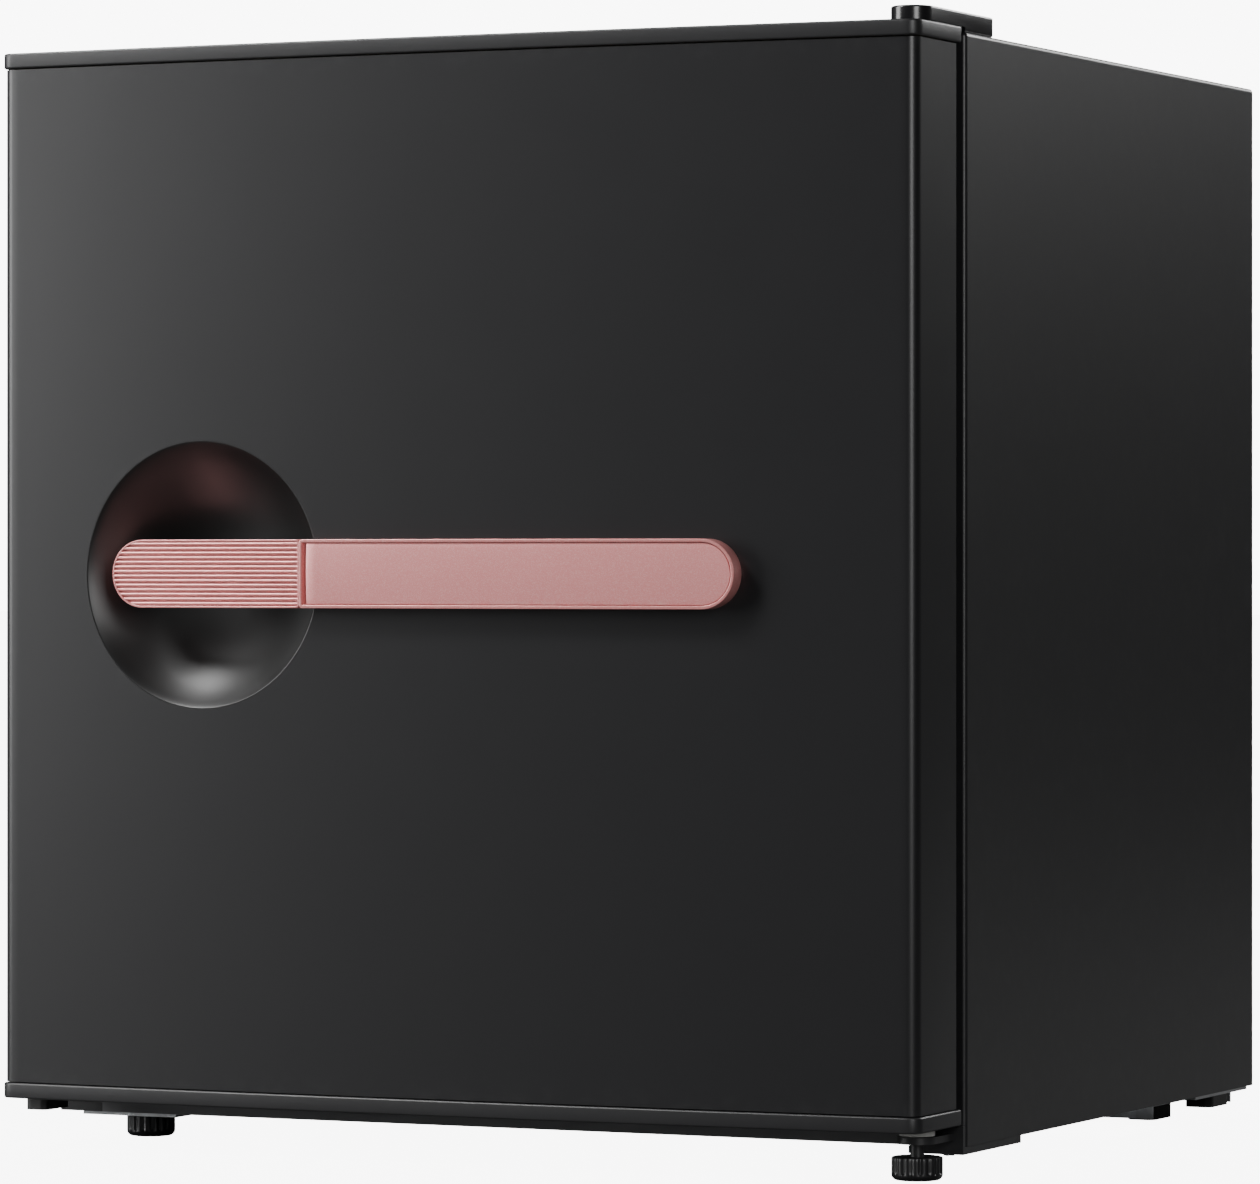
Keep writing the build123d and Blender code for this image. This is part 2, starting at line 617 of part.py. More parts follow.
def foot_knob(x, y):
    """Fluted foot that is turned to level the cabinet."""
    knob = post(x, y, 0, FOOT_HEIGHT, FOOT_RADIUS)
    knob = fillet(knob.edges().sort_by(Axis.Z)[0], 2.2)
    flutes = 18
    for index in range(flutes):
        angle = 2 * math.pi * index / flutes
        knob -= post(x + (FOOT_RADIUS + 0.7) * math.cos(angle),
                     y + (FOOT_RADIUS + 0.7) * math.sin(angle), 3, FOOT_HEIGHT + 1, 1.3)
    return knob - post(x, y, 6.0, 20, STEM_RADIUS + RUNNING_GAP)


# Door -------------------------------------------------------------------------------------

def bow_y(x, inset):
    """Y of the bowed front at x, set back by inset; all the bowed faces are concentric."""
    return FRONT - BOW + BOW_RADIUS - math.sqrt((BOW_RADIUS - inset) ** 2 - x ** 2)


def door_plan(half, inset, back, corner):
    """Plan of the door: straight sides, a bowed front and rounded front corners."""
    front = bow_y(half, inset)
    outline = Curve() + [
        Line((-half, back), (-half, front)),
        ThreePointArc((-half, front), (0, bow_y(0, inset)), (half, front)),
        Line((half, front), (half, back)),
        Line((half, back), (-half, back)),
    ]
    face = make_face(outline)
    return fillet(face.vertices().sort_by(Axis.Y)[:2], corner)


def door_slab(half, inset, back, corner, z0, z1):
    """Upright slab with the door's plan."""
    return extrude(Pos(0, 0, z0) * door_plan(half, inset, back, corner), amount=z1 - z0)


def recess_axis():
    """Place of the finger recess: its centre on the bowed front, turned to face outwards."""
    turn = math.degrees(math.asin(RECESS_X / BOW_RADIUS))
    return Pos(RECESS_X, bow_y(RECESS_X, SHEET), RECESS_Z) * Rot(0, 0, turn)


def recess_bowl(grow):
    """The finger recess as a solid: a collar through the door skin and a shallow dome."""
    radius = RECESS_RADIUS - 2 + grow
    depth = RECESS_DEPTH + grow
    sphere = (radius ** 2 + depth ** 2) / (2 * depth)
    lean = math.asin(radius / sphere) / 2
    outline = Curve() + [
        Line((0, -8), (radius, -8)),
        Line((radius, -8), (radius, 0)),
        ThreePointArc((radius, 0), (sphere * math.sin(lean), depth - sphere * (1 - math.cos(lean))),
                      (0, depth)),
        Line((0, depth), (0, -8)),
    ]
    return recess_axis() * revolve(make_face(outline), Axis.Y)


def door_panel():
    """Bowed steel door skin with return flanges and the recess hole."""
    z0, z1 = DOOR_BOTTOM + CAP_HEIGHT, DOOR_TOP - CAP_HEIGHT
    skin = door_slab(HALF - 1, 1, PANEL_BACK, 5.5, z0, z1)
    skin -= door_slab(HALF - 1 - SHEET, 1 + SHEET, PANEL_BACK - SHEET, 4.5, z0 - 1, z1 + 1)
    skin -= frame_block(HALF - 12, FRONT + 12, PANEL_BACK + 1, z0 - 1, z1 + 1)
    return skin - recess_bowl(2)


def door_cap(top):
    """Moulded end cap of the door, open towards the foam."""
    skin = 2.4
    z0, z1 = (DOOR_TOP - CAP_HEIGHT, DOOR_TOP) if top else (DOOR_BOTTOM, DOOR_BOTTOM + CAP_HEIGHT)
    cap = door_slab(HALF, 0, CAP_BACK, 6, z0, z1)
    cap = fillet(cap.edges().filter_by(Axis.Z).sort_by(Axis.Y)[-2:], 5)
    rim = cap.edges().group_by(Axis.Z)[-1 if top else 0]
    cap = fillet(rim, 0.9)
    pocket_z = (z0 - 1, z1 - skin) if top else (z0 + skin, z1 + 1)
    cap -= door_slab(HALF - 4, 4, PANEL_BACK - 3, 4, *pocket_z)
    return cap - post(PIN_X, PIN_Y, z0 - 1, z1 + 1, 7.0)


def finger_recess():
    """Moulded bowl set in the door skin."""
    skin_front = door_slab(HALF - 1, 1, PANEL_BACK, 5.5, 100, 400)
    return (recess_bowl(2) - recess_bowl(0)) & skin_front


def door_foam():
    """Foamed insulation inside the door."""
    z0, z1 = DOOR_BOTTOM + CAP_HEIGHT, DOOR_TOP - CAP_HEIGHT
    foam = door_slab(HALF - 1 - SHEET, 1 + SHEET, PANEL_BACK - SHEET, 4.5, z0, z1)
    return foam - recess_bowl(2) - post(PIN_X, PIN_Y, 0, 500, 7.0)


def door_liner():
    """Moulded inner face of the door with a raised dyke that enters the food space."""
    z0, z1 = DOOR_BOTTOM + CAP_HEIGHT + 0.7, DOOR_TOP - CAP_HEIGHT - 0.7
    liner = rounded_frame(HALF - 8, z0, z1, PANEL_BACK, PANEL_BACK + 2, 4)
    dyke = rounded_frame(182, 53, 448, PANEL_BACK + 2, FRONT + 64, 14)
    recess = rounded_frame(166, 69, 432, PANEL_BACK + 2, FRONT + 66, 10)
    return liner + (dyke - recess)


def rounded_frame(half, z0, z1, y0, y1, radius):
    """Slab facing the front with rounded corners, from y0 back to y1."""
    face = Pos(0, (z0 + z1) / 2) * RectangleRounded(2 * half, z1 - z0, radius)
    return extrude(Plane((0, y0, 0), x_dir=(1, 0, 0), z_dir=(0, -1, 0)) * face, amount=y0 - y1)


def door_gasket():
    """Magnetic seal round the door's inner face, a ribbed ring."""
    y0, y1 = PANEL_BACK + 2, CABINET_FRONT - 0.3
    ring = rounded_frame(205, 31, 470, y0, y1, 5) - rounded_frame(190, 46, 455, y0 - 1, y1 + 1, 3)
    groove = rounded_frame(206, 30, 471, y0 + 2.2, y0 + 3.4, 5)
    groove -= rounded_frame(202, 34, 467, y0 + 2, y0 + 3.6, 4)
    return ring - groove


def door_bin(z0, z1):
    """Rack on the door's inner face, open at the top."""
    half, y0, y1 = 164.0, PANEL_BACK + 4.2, FRONT + 120
    tray = rounded_plan(-half, half, y0, y1, z0, z1, 10)
    tray -= rounded_plan(-half + 2, half - 2, y0 + 2, y1 - 2, z0 + 2.5, z1 + 5, 8)
    for index in range(9):
        x = (index - 4) * 34
        tray -= block(x - 10, x + 10, y1 - 5, y1 + 5, z0 + 22, z1 - 14)
    return tray


def bowed_layer(near, far, z0, z1):
    """Layer that follows the door's bow, from near to far ahead of the skin."""
    ahead = door_slab(HALF + 20, 1 - far, PANEL_BACK, 1, z0, z1)
    return ahead - door_slab(HALF + 30, 1 - near, PANEL_BACK + 5, 1, z0 - 1, z1 + 1)


def stadium(x0, x1, z, tall):
    """Long round-ended prism facing the front."""
    face = Pos((x0 + x1) / 2, z) * SlotOverall(x1 - x0, tall)
    return extrude(Plane((0, FRONT, 0), x_dir=(1, 0, 0), z_dir=(0, -1, 0)) * face,
                   amount=40, both=True)


def handle_layer(near, far):
    """Bowed layer over the whole height of the handle."""
    return bowed_layer(near, far, HANDLE_Z - HANDLE_TALL, HANDLE_Z + HANDLE_TALL)


def inlay_area(shrink):
    """Prism over the smooth right part of the handle, inside its rim."""
    area = stadium(HANDLE_LEFT + shrink, HANDLE_RIGHT - shrink, HANDLE_Z,
                   HANDLE_TALL - 2 * shrink)
    return area & block(INLAY_START + shrink - HANDLE_RIM, 300, -300, 0, 0, 500)


def handle_bar():
    """Cantilevered bar with a fine raised rim round the inlay."""
    outline = stadium(HANDLE_LEFT, HANDLE_RIGHT, HANDLE_Z, HANDLE_TALL)
    bar = outline & handle_layer(0, HANDLE_BASE)
    rim = outline & handle_layer(HANDLE_BASE, HANDLE_PROUD)
    rim &= block(GRIP_END, 300, -300, 0, 0, 500)
    return bar + (rim - inlay_area(HANDLE_RIM))


def handle_grip():
    """Ribbed grip in front of the finger recess."""
    outline = stadium(HANDLE_LEFT, HANDLE_RIGHT, HANDLE_Z, HANDLE_TALL)
    outline &= block(-300, GRIP_END, -300, 0, 0, 500)
    grip = outline & handle_layer(HANDLE_BASE, HANDLE_PROUD - 0.9)
    layer = handle_layer(HANDLE_BASE, HANDLE_PROUD) & outline
    pitch = HANDLE_TALL / GRIP_RIBS
    for index in range(GRIP_RIBS):
        z = HANDLE_Z - HANDLE_TALL / 2 + (index + 0.5) * pitch
        grip += layer & frame_block(300, -300, 0, z - 0.6, z + 0.6)
    return grip


def handle_inlay():
    """Smooth plate inside the rim."""
    return inlay_area(HANDLE_RIM) & handle_layer(HANDLE_BASE, HANDLE_PROUD - 0.6)


def handle_screws():
    """Two screws from inside the door into the handle."""
    group = []
    for x in (-35, 115):
        y = bow_y(x, 2 * SHEET) + 0.15
        group.append(screw(x, y, HANDLE_Z, 5, 3, 2.0, 5.5, Rot(-90, 0, 0)))
    return Part() + group


def hinge_bushes():
    """Plastic bushes in the end caps that turn on the hinge pins."""
    top = post(PIN_X, PIN_Y, 474, DOOR_TOP, 7.0)
    top -= post(PIN_X, PIN_Y, 476, 500, PIN_RADIUS + RUNNING_GAP)
    low = post(PIN_X, PIN_Y, DOOR_BOTTOM, 37, 7.0)
    low += post(PIN_X, PIN_Y, LUG_TOP + 0.4, DOOR_BOTTOM, 7.6)
    low -= post(PIN_X, PIN_Y, 0, 35, LOWER_PIN_RADIUS + RUNNING_GAP)
    return top + low


def door_plug():
    """Plug in the unused hinge hole under the door's left end."""
    plug = rounded_plan(-219, -208, FRONT + 16, FRONT + 38, 15.6, DOOR_BOTTOM, 3)
    return plug


# Assembly ---------------------------------------------------------------------------------

parts["outer_shell"] = outer_shell()
parts["front_sill"] = front_sill()
parts["base_panel"] = base_panel()
parts["back_panel"] = back_panel()
parts["inner_liner"] = inner_liner()
parts["cabinet_foam"] = cabinet_foam()
parts["hinge_hole_plugs"] = hinge_hole_plugs()

parts["chiller_box"] = chiller_box()
parts["chiller_clips"] = chiller_clips()
parts["chiller_flap"] = chiller_flap()
parts["drip_tray"] = drip_tray()
parts["wire_shelf"] = wire_shelf()
parts["thermostat_housing"] = thermostat_housing()
parts["thermostat_knob"] = thermostat_knob()

parts["compressor"] = compressor()
parts["compressor_grommets"] = compressor_mount(grommet)
parts["compressor_bolts"] = compressor_mount(mount_bolt)
parts["relay_cover"] = relay_cover() - parts["compressor"]
parts["evaporation_tray"] = evaporation_tray()
parts["drain_tube"] = drain_tube()
parts["base_plate"] = base_plate() - parts["compressor_bolts"]
parts["cord_gland"] = cord_gland()
parts["rear_pads"] = rear_pads()
parts["wall_spacers"] = wall_spacers()
parts["condenser_coil"] = condenser_coil()
parts["condenser_wires"] = condenser_wires()
parts["condenser_brackets"] = condenser_brackets()
parts["filter_drier"] = filter_drier()
discharge, returned, suction, capillary = pipework()
parts["discharge_pipe"] = discharge - parts["compressor"]
parts["return_pipe"] = returned
parts["suction_pipe"] = suction - parts["compressor"]
parts["capillary_pipe"] = capillary

parts["top_hinge_plate"] = top_hinge_plate()
parts["top_hinge_screws"] = top_hinge_screws()
parts["top_hinge_pin"] = top_hinge_pin()
parts["hinge_cover"] = hinge_cover()
parts["lower_hinge_bracket"] = lower_hinge_bracket()
parts["lower_hinge_screws"] = lower_hinge_screws()
parts["lower_hinge_pin"] = lower_hinge_pin()
parts["left_foot_bracket"] = left_foot_bracket()
for side, place in (("left", LEFT_FOOT), ("right", RIGHT_FOOT)):
    parts[side + "_foot_stem"] = foot_stem(*place)
    parts[side + "_foot_knob"] = foot_knob(*place)

parts["door_panel"] = door_panel()
parts["door_top_cap"] = door_cap(True)
parts["door_bottom_cap"] = door_cap(False)
parts["finger_recess"] = finger_recess()
parts["door_foam"] = door_foam()
parts["door_liner"] = door_liner()
parts["door_gasket"] = door_gasket()
parts["upper_door_bin"] = door_bin(225, 283)
parts["lower_door_bin"] = door_bin(76, 142)
parts["handle_bar"] = handle_bar()
parts["handle_grip"] = handle_grip()
parts["handle_inlay"] = handle_inlay()
parts["handle_screws"] = handle_screws()
parts["hinge_bushes"] = hinge_bushes()
parts["door_plug"] = door_plug()

# Holes that screws, feet, tubes and the gland pass through
DRILLED = {
    "top_hinge_screws": ["top_hinge_plate", "outer_shell", "cabinet_foam"],
    "lower_hinge_screws": ["lower_hinge_bracket", "outer_shell", "base_panel", "cabinet_foam"],
    "handle_screws": ["handle_bar", "door_panel", "door_foam"],
    "hinge_hole_plugs": ["outer_shell"],
}
for tool, targets in DRILLED.items():
    for target in targets:
        parts[target] -= parts[tool]
foot_bore = post(*LEFT_FOOT, 0, 34, STEM_RADIUS + 1)
drain_bore = post(*DRAIN, 130, STEP_TOP - LINER_WALL, 6)
for target in ("outer_shell", "base_panel", "cabinet_foam"):
    parts[target] -= foot_bore + drain_bore

os.makedirs("parts", exist_ok=True)
for name, shape in parts.items():
    export_step(shape, f"parts/{name}.step")
print(len(parts), "parts written")
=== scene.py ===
"""Compact refrigerator: finishes, detailed pieces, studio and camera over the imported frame."""

import json
import math

import bmesh
import bpy
from bpy.props import FloatProperty, FloatVectorProperty, IntProperty, PointerProperty
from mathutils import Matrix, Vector


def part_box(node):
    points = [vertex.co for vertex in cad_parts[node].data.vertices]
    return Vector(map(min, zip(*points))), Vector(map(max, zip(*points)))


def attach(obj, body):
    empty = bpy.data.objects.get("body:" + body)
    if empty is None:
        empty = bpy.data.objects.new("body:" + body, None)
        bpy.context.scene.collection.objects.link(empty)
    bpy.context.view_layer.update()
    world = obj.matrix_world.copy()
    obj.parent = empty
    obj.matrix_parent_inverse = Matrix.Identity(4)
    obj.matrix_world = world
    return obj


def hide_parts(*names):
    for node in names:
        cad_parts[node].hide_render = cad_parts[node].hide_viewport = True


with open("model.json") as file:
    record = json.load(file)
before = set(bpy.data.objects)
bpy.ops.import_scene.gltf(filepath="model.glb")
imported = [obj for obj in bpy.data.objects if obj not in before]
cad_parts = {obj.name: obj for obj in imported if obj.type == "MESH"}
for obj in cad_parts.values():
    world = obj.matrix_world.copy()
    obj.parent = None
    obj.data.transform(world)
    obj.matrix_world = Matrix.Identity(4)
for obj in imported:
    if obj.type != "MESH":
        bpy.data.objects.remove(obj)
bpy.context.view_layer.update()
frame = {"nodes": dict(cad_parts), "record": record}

bl_info = {
    "name": "Compact refrigerator",
    "version": (1, 0, 0),
    "blender": (4, 5, 0),
    "location": "View3D > Sidebar > Refrigerator",
    "description": "Builds the refrigerator's door, handle, hinges, shelf, condenser and studio",
    "category": "Object",
}

MM = 0.001

# Places taken from the frame
DOOR_LOW, DOOR_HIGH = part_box("door_bottom_cap")[0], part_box("door_top_cap")[1]
PANEL_LOW, PANEL_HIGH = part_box("door_panel")
RECESS_LOW, RECESS_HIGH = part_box("finger_recess")
BAR_LOW, BAR_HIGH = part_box("handle_bar")
GRIP_LOW, GRIP_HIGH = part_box("handle_grip")
INLAY_LOW, INLAY_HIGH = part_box("handle_inlay")
GASKET_LOW, GASKET_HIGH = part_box("door_gasket")
COVER_LOW, COVER_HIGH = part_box("hinge_cover")
PIN_LOW, PIN_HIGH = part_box("top_hinge_pin")
SHELF_LOW, SHELF_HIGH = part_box("wire_shelf")
COIL_LOW, COIL_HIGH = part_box("condenser_coil")
WIRES_LOW, WIRES_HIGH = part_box("condenser_wires")
SHELL_LOW, SHELL_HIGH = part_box("outer_shell")
HALF = DOOR_HIGH.x
PIN = (PIN_LOW + PIN_HIGH) / 2

# Small fixed details
HAIR = 0.01 * MM                # keeps a round end from closing on itself
DOOR_FLANGE = 11 * MM           # skin turned in behind the door
RECESS_MARGIN = 8 * MM          # evenly divided skin round the recess
CAP_CORNER = 6 * MM
BUSH_RADIUS = 7.0 * MM
RIM_SHOULDER = 0.35 * MM        # height of a rim's rounded edge
RIB_FLOOR = 1.3 * MM            # depth of the grip's floor below its ribs
INLAY_GROOVE = 0.5 * MM
INLAY_DROP, INLAY_CROWN = 0.75 * MM, 0.5 * MM
SEAL_HALF = 7.0 * MM
COVER_NOSE, COVER_REAR, COVER_WALL = 9.2 * MM, 6 * MM, 1.3 * MM
SCREW_HEAD = 2.2 * MM
FOOT_STEM = 3.05 * MM


# Settings ---------------------------------------------------------------------------------

def length(name, description, default):
    """A size that a user may change, in metres."""
    return FloatProperty(name=name, description=description, default=default, unit="LENGTH",
                         precision=4, min=0.0)


def power(name, description, default):
    """The power of a light."""
    return FloatProperty(name=name, description=description, default=default, min=0.0, unit="POWER")


def colour(name, description, default):
    """A finish colour that a user may change, in linear light."""
    return FloatVectorProperty(name=name, description=description, default=default, size=3,
                               subtype="COLOR", min=0.0, max=1.0)


class FridgeSizes(bpy.types.PropertyGroup):
    """Sizes that drive the detailed pieces."""

    bow: length("Door bow", "How far the door front bulges at its middle", 5.6 * MM)
    sheet: length("Sheet", "Thickness of the steel door skin", 1.0 * MM)
    corner: length("Door corner", "Radius of the door's front corners", 5.5 * MM)
    cap_gap: length("Cap groove", "Groove between the end caps and the door skin", 0.5 * MM)
    recess_depth: length("Recess depth", "Depth of the finger recess", 24.0 * MM)
    recess_wall: length("Recess wall", "Wall of the moulded finger recess", 0.6 * MM)
    handle_base: length("Handle base", "Thickness of the bar under the inlay", 6.3 * MM)
    handle_rim: length("Handle rim", "Width of the raised rim round the inlay", 1.4 * MM)
    grip_rim: length("Grip rim", "Width of the rim round the ribs", 0.9 * MM)
    grip_ribs: IntProperty(name="Grip ribs", description="Ribs on the grip", default=14, min=2)
    shelf_wires: IntProperty(name="Shelf wires", description="Front to back wires", default=17, min=2)
    shelf_wire: length("Shelf wire", "Radius of a shelf wire", 1.2 * MM)
    coil_runs: IntProperty(name="Coil runs", description="Runs of the condenser coil", default=8, min=2)
    coil_tube: length("Coil tube", "Radius of the condenser tube", 2.4 * MM)
    coil_wires: IntProperty(name="Coil wires", description="Wires on each face of the coil",
                            default=23, min=2)
    coil_wire: length("Coil wire", "Radius of a condenser wire", 0.8 * MM)
    foot_flutes: IntProperty(name="Foot flutes", description="Flutes round a levelling foot",
                             default=18, min=3)


class FridgeColours(bpy.types.PropertyGroup):
    """Colours of the main finishes."""

    door_black: colour("Door black", "Satin paint of the door", (0.011, 0.011, 0.012))
    cabinet_black: colour("Cabinet black", "Satin paint of the cabinet", (0.011, 0.011, 0.012))
    cap_black: colour("Cap black", "Moulded end caps", (0.014, 0.014, 0.015))
    # Bar and grip rose: the handle's own colour, set darker as painted shade for the dim grip end
    rose: colour("Rose metallic", "Metallic coating of the handle", (0.7, 0.25, 0.245))
    # Inlay rose: the handle's own colour, set lighter as painted light for the bright right end
    inlay: colour("Rose inlay", "Smooth plate of the handle", (0.8, 0.29, 0.29))
    liner: colour("Liner white", "Moulded liner of the food space", (0.82, 0.83, 0.82))


class FridgeStudio(bpy.types.PropertyGroup):
    """Studio lights and floor."""

    floor: colour("Floor", "Colour of the floor", (0.13, 0.13, 0.13))
    overhead_power: power("Overhead light", "Power of the softbox above the door's left side", 46.0)
    left_power: power("Left light", "Power of the tall softbox to the left", 62.0)
    side_power: power("Side light", "Power of the softbox behind the right side", 34.0)
    front_power: power("Front light", "Power of the softbox in front to the right", 24.0)
    rear_power: power("Rear light", "Power of the softbox behind the left side", 26.0)
    surround: FloatProperty(name="Surround", description="Brightness of the surround on the object",
                            default=0.04, min=0.0)
    backdrop: FloatProperty(name="Backdrop", description="Brightness of the backdrop itself",
                            default=9.0, min=0.0)
    floor_lift: FloatProperty(name="Floor lift", description="Brightness added to the visible floor",
                              default=8.0, min=0.0)


def sizes():
    """The size settings of the scene."""
    return bpy.context.scene.fridge_sizes


def colours():
    """The colour settings of the scene."""
    return bpy.context.scene.fridge_colours


# Node helpers -----------------------------------------------------------------------------

def set_inputs(tree, node, inputs):
    """Gives a node its inputs: each is a value, or a socket that is linked to it."""
    for name, value in inputs.items():
        if isinstance(value, bpy.types.NodeSocket):
            tree.links.new(value, node.inputs[name])
        else:
            node.inputs[name].default_value = value


def add_node(tree, kind, inputs=None, **settings):
    """Adds a node with its settings and inputs."""
    node = tree.nodes.new(kind)
    for name, value in settings.items():
        setattr(node, name, value)
    set_inputs(tree, node, inputs or {})
    return node


def calc(tree, operation, first, second=0.0, clamp=False):
    """A Math node's result."""
    node = add_node(tree, "ShaderNodeMath", {0: first, 1: second}, operation=operation)
    node.use_clamp = clamp
    return node.outputs[0]


def mix_colour(tree, factor, first, second):
    """A Mix node's colour result."""
    inputs = {"Factor": factor, 6: first, 7: second}
    return add_node(tree, "ShaderNodeMix", inputs, data_type="RGBA").outputs[2]


def noise(tree, coordinates, scale, detail=3.0, roughness=0.5):
    """A Noise Texture's grey value."""
    inputs = {"Vector": coordinates, "Scale": scale, "Detail": detail, "Roughness": roughness}
    return add_node(tree, "ShaderNodeTexNoise", inputs).outputs["Fac"]


def ramp(tree, value, low, high):
    """A value spread from low..high to 0..1, smoothly."""
    inputs = {"Value": value, "From Min": low, "From Max": high}
    node = add_node(tree, "ShaderNodeMapRange", inputs, interpolation_type="SMOOTHSTEP")
    return node.outputs["Result"]


def new_group(name, inputs, outputs):
    """A shader node group with named sockets; returns it with its input and output nodes."""
    tree = bpy.data.node_groups.new(name, "ShaderNodeTree")
    for socket, kind, default in inputs:
        made = tree.interface.new_socket(socket, in_out="INPUT", socket_type=kind)
        if default is not None:
            made.default_value = default
    for socket, kind in outputs:
        tree.interface.new_socket(socket, in_out="OUTPUT", socket_type=kind)
    return tree, tree.nodes.new("NodeGroupInput"), tree.nodes.new("NodeGroupOutput")


FLOAT, COLOUR, VECTOR = "NodeSocketFloat", "NodeSocketColor", "NodeSocketVector"
GREY = (0.5, 0.5, 0.5, 1.0)


def grain_group():
    """Fine moulded or sprayed grain: a height made of two sizes of noise."""
    tree, given, result = new_group(
        "Fine grain",
        [("Coordinates", VECTOR, None), ("Fineness", FLOAT, 900.0), ("Pits", FLOAT, 0.3)],
        [("Height", FLOAT)])
    place = given.outputs["Coordinates"]
    broad = noise(tree, place, given.outputs["Fineness"], 2.0)
    fine = noise(tree, place, calc(tree, "MULTIPLY", given.outputs["Fineness"], 3.1), 1.0)
    pits = ramp(tree, fine, 0.35, 0.6)
    pitted = calc(tree, "MULTIPLY", pits, given.outputs["Pits"])
    tree.links.new(calc(tree, "ADD", broad, pitted), result.inputs["Height"])
    return tree


def handling_group():
    """Smudges, slight colour drift and settled dust on upward faces."""
    tree, given, result = new_group(
        "Handling and dust",
        [("Coordinates", VECTOR, None), ("Colour", COLOUR, GREY), ("Roughness", FLOAT, 0.4),
         ("Smudges", FLOAT, 0.1), ("Drift", FLOAT, 0.08), ("Dust", FLOAT, 0.1),
         ("Dust Colour", COLOUR, (0.42, 0.4, 0.37, 1.0))],
        [("Colour", COLOUR), ("Roughness", FLOAT)])
    place = given.outputs["Coordinates"]
    wide = noise(tree, place, 9.0, 3.0)
    streaks = noise(tree, place, 34.0, 5.0, 0.62)
    smudge = calc(tree, "MULTIPLY", calc(tree, "SUBTRACT", streaks, 0.5), given.outputs["Smudges"])
    drift = calc(tree, "MULTIPLY", calc(tree, "SUBTRACT", wide, 0.5), given.outputs["Drift"])
    normal = add_node(tree, "ShaderNodeNewGeometry").outputs["Normal"]
    upward = add_node(tree, "ShaderNodeSeparateXYZ", {0: normal}).outputs["Z"]
    facing = ramp(tree, upward, 0.55, 0.98)
    specks = ramp(tree, noise(tree, place, 420.0, 4.0, 0.7), 0.42, 0.72)
    cloud = calc(tree, "MULTIPLY", ramp(tree, wide, 0.3, 0.75), specks)
    dust = calc(tree, "MULTIPLY", calc(tree, "MULTIPLY", facing, cloud), given.outputs["Dust"], True)
    shade = calc(tree, "ADD", 1.0, drift)
    shaded = add_node(tree, "ShaderNodeVectorMath", {0: given.outputs["Colour"], 1: (1, 1, 1)},
                      operation="MULTIPLY")
    tree.links.new(shade, shaded.inputs[1])
    dusted = mix_colour(tree, dust, shaded.outputs[0], given.outputs["Dust Colour"])
    tree.links.new(dusted, result.inputs["Colour"])
    rough = calc(tree, "ADD", given.outputs["Roughness"], smudge)
    rough = calc(tree, "ADD", rough, calc(tree, "MULTIPLY", dust, 0.35), True)
    tree.links.new(rough, result.inputs["Roughness"])
    return tree


def wear_group():
    """Paint rubbed thin along sharp edges."""
    tree, given, result = new_group(
        "Edge wear",
        [("Coordinates", VECTOR, None), ("Colour", COLOUR, GREY), ("Bare Colour", COLOUR, GREY),
         ("Amount", FLOAT, 0.2)],
        [("Colour", COLOUR)])
    point = add_node(tree, "ShaderNodeNewGeometry").outputs["Pointiness"]
    edge = ramp(tree, point, 0.53, 0.62)
    patchy = ramp(tree, noise(tree, given.outputs["Coordinates"], 160.0, 4.0), 0.45, 0.7)
    rubbed = calc(tree, "MULTIPLY", edge, patchy)
    mask = calc(tree, "MULTIPLY", rubbed, given.outputs["Amount"], True)
    worn = mix_colour(tree, mask, given.outputs["Colour"], given.outputs["Bare Colour"])
    tree.links.new(worn, result.inputs["Colour"])
    return tree


def brushed_group():
    """Drawn or brushed metal: long fine lines along one axis."""
    tree, given, result = new_group(
        "Brushed lines",
        [("Coordinates", VECTOR, None), ("Stretch", VECTOR, (30.0, 1600.0, 1600.0)),
         ("Colour", COLOUR, GREY), ("Depth", FLOAT, 0.12)],
        [("Height", FLOAT), ("Colour", COLOUR), ("Roughness", FLOAT)])
    stretched = add_node(tree, "ShaderNodeVectorMath",
                         {0: given.outputs["Coordinates"], 1: given.outputs["Stretch"]},
                         operation="MULTIPLY").outputs[0]
    lines = noise(tree, stretched, 1.0, 3.0, 0.6)
    tree.links.new(lines, result.inputs["Height"])
    shade = calc(tree, "MULTIPLY", ramp(tree, lines, 0.25, 0.8), given.outputs["Depth"])
    darker = mix_colour(tree, shade, given.outputs["Colour"], (0.2, 0.2, 0.2, 1.0))
    tree.links.new(darker, result.inputs["Colour"])
    tree.links.new(calc(tree, "MULTIPLY", lines, 0.22), result.inputs["Roughness"])
    return tree


def spangle_group():
    """Zinc crystals of hot-dipped steel."""
    tree, given, result = new_group(
        "Zinc spangle",
        [("Coordinates", VECTOR, None), ("Fineness", FLOAT, 240.0), ("Colour", COLOUR, GREY),
         ("Contrast", FLOAT, 0.3)],
        [("Colour", COLOUR), ("Roughness", FLOAT)])
    inputs = {"Vector": given.outputs["Coordinates"], "Scale": given.outputs["Fineness"]}
    cells = add_node(tree, "ShaderNodeTexVoronoi", inputs).outputs["Color"]
    grey = add_node(tree, "ShaderNodeSeparateColor", {0: cells}).outputs[0]
    factor = calc(tree, "MULTIPLY", grey, given.outputs["Contrast"])
    crystal = mix_colour(tree, factor, given.outputs["Colour"], (0.85, 0.87, 0.9, 1.0))
    tree.links.new(crystal, result.inputs["Colour"])
    tree.links.new(calc(tree, "MULTIPLY", grey, 0.18), result.inputs["Roughness"])
    return tree


GROUP_MAKERS = {
    "Fine grain": grain_group,
    "Handling and dust": handling_group,
    "Edge wear": wear_group,
    "Brushed lines": brushed_group,
    "Zinc spangle": spangle_group,
}


def effect(tree, name, inputs):
    """Places a shared effect in a material."""
    group = bpy.data.node_groups.get(name) or GROUP_MAKERS[name]()
    node = tree.nodes.new("ShaderNodeGroup")
    node.node_tree = group
    set_inputs(tree, node, inputs)
    return node.outputs


def opaque(rgb):
    """A colour with full alpha."""
    return (rgb[0], rgb[1], rgb[2], 1.0)


# Materials --------------------------------------------------------------------------------

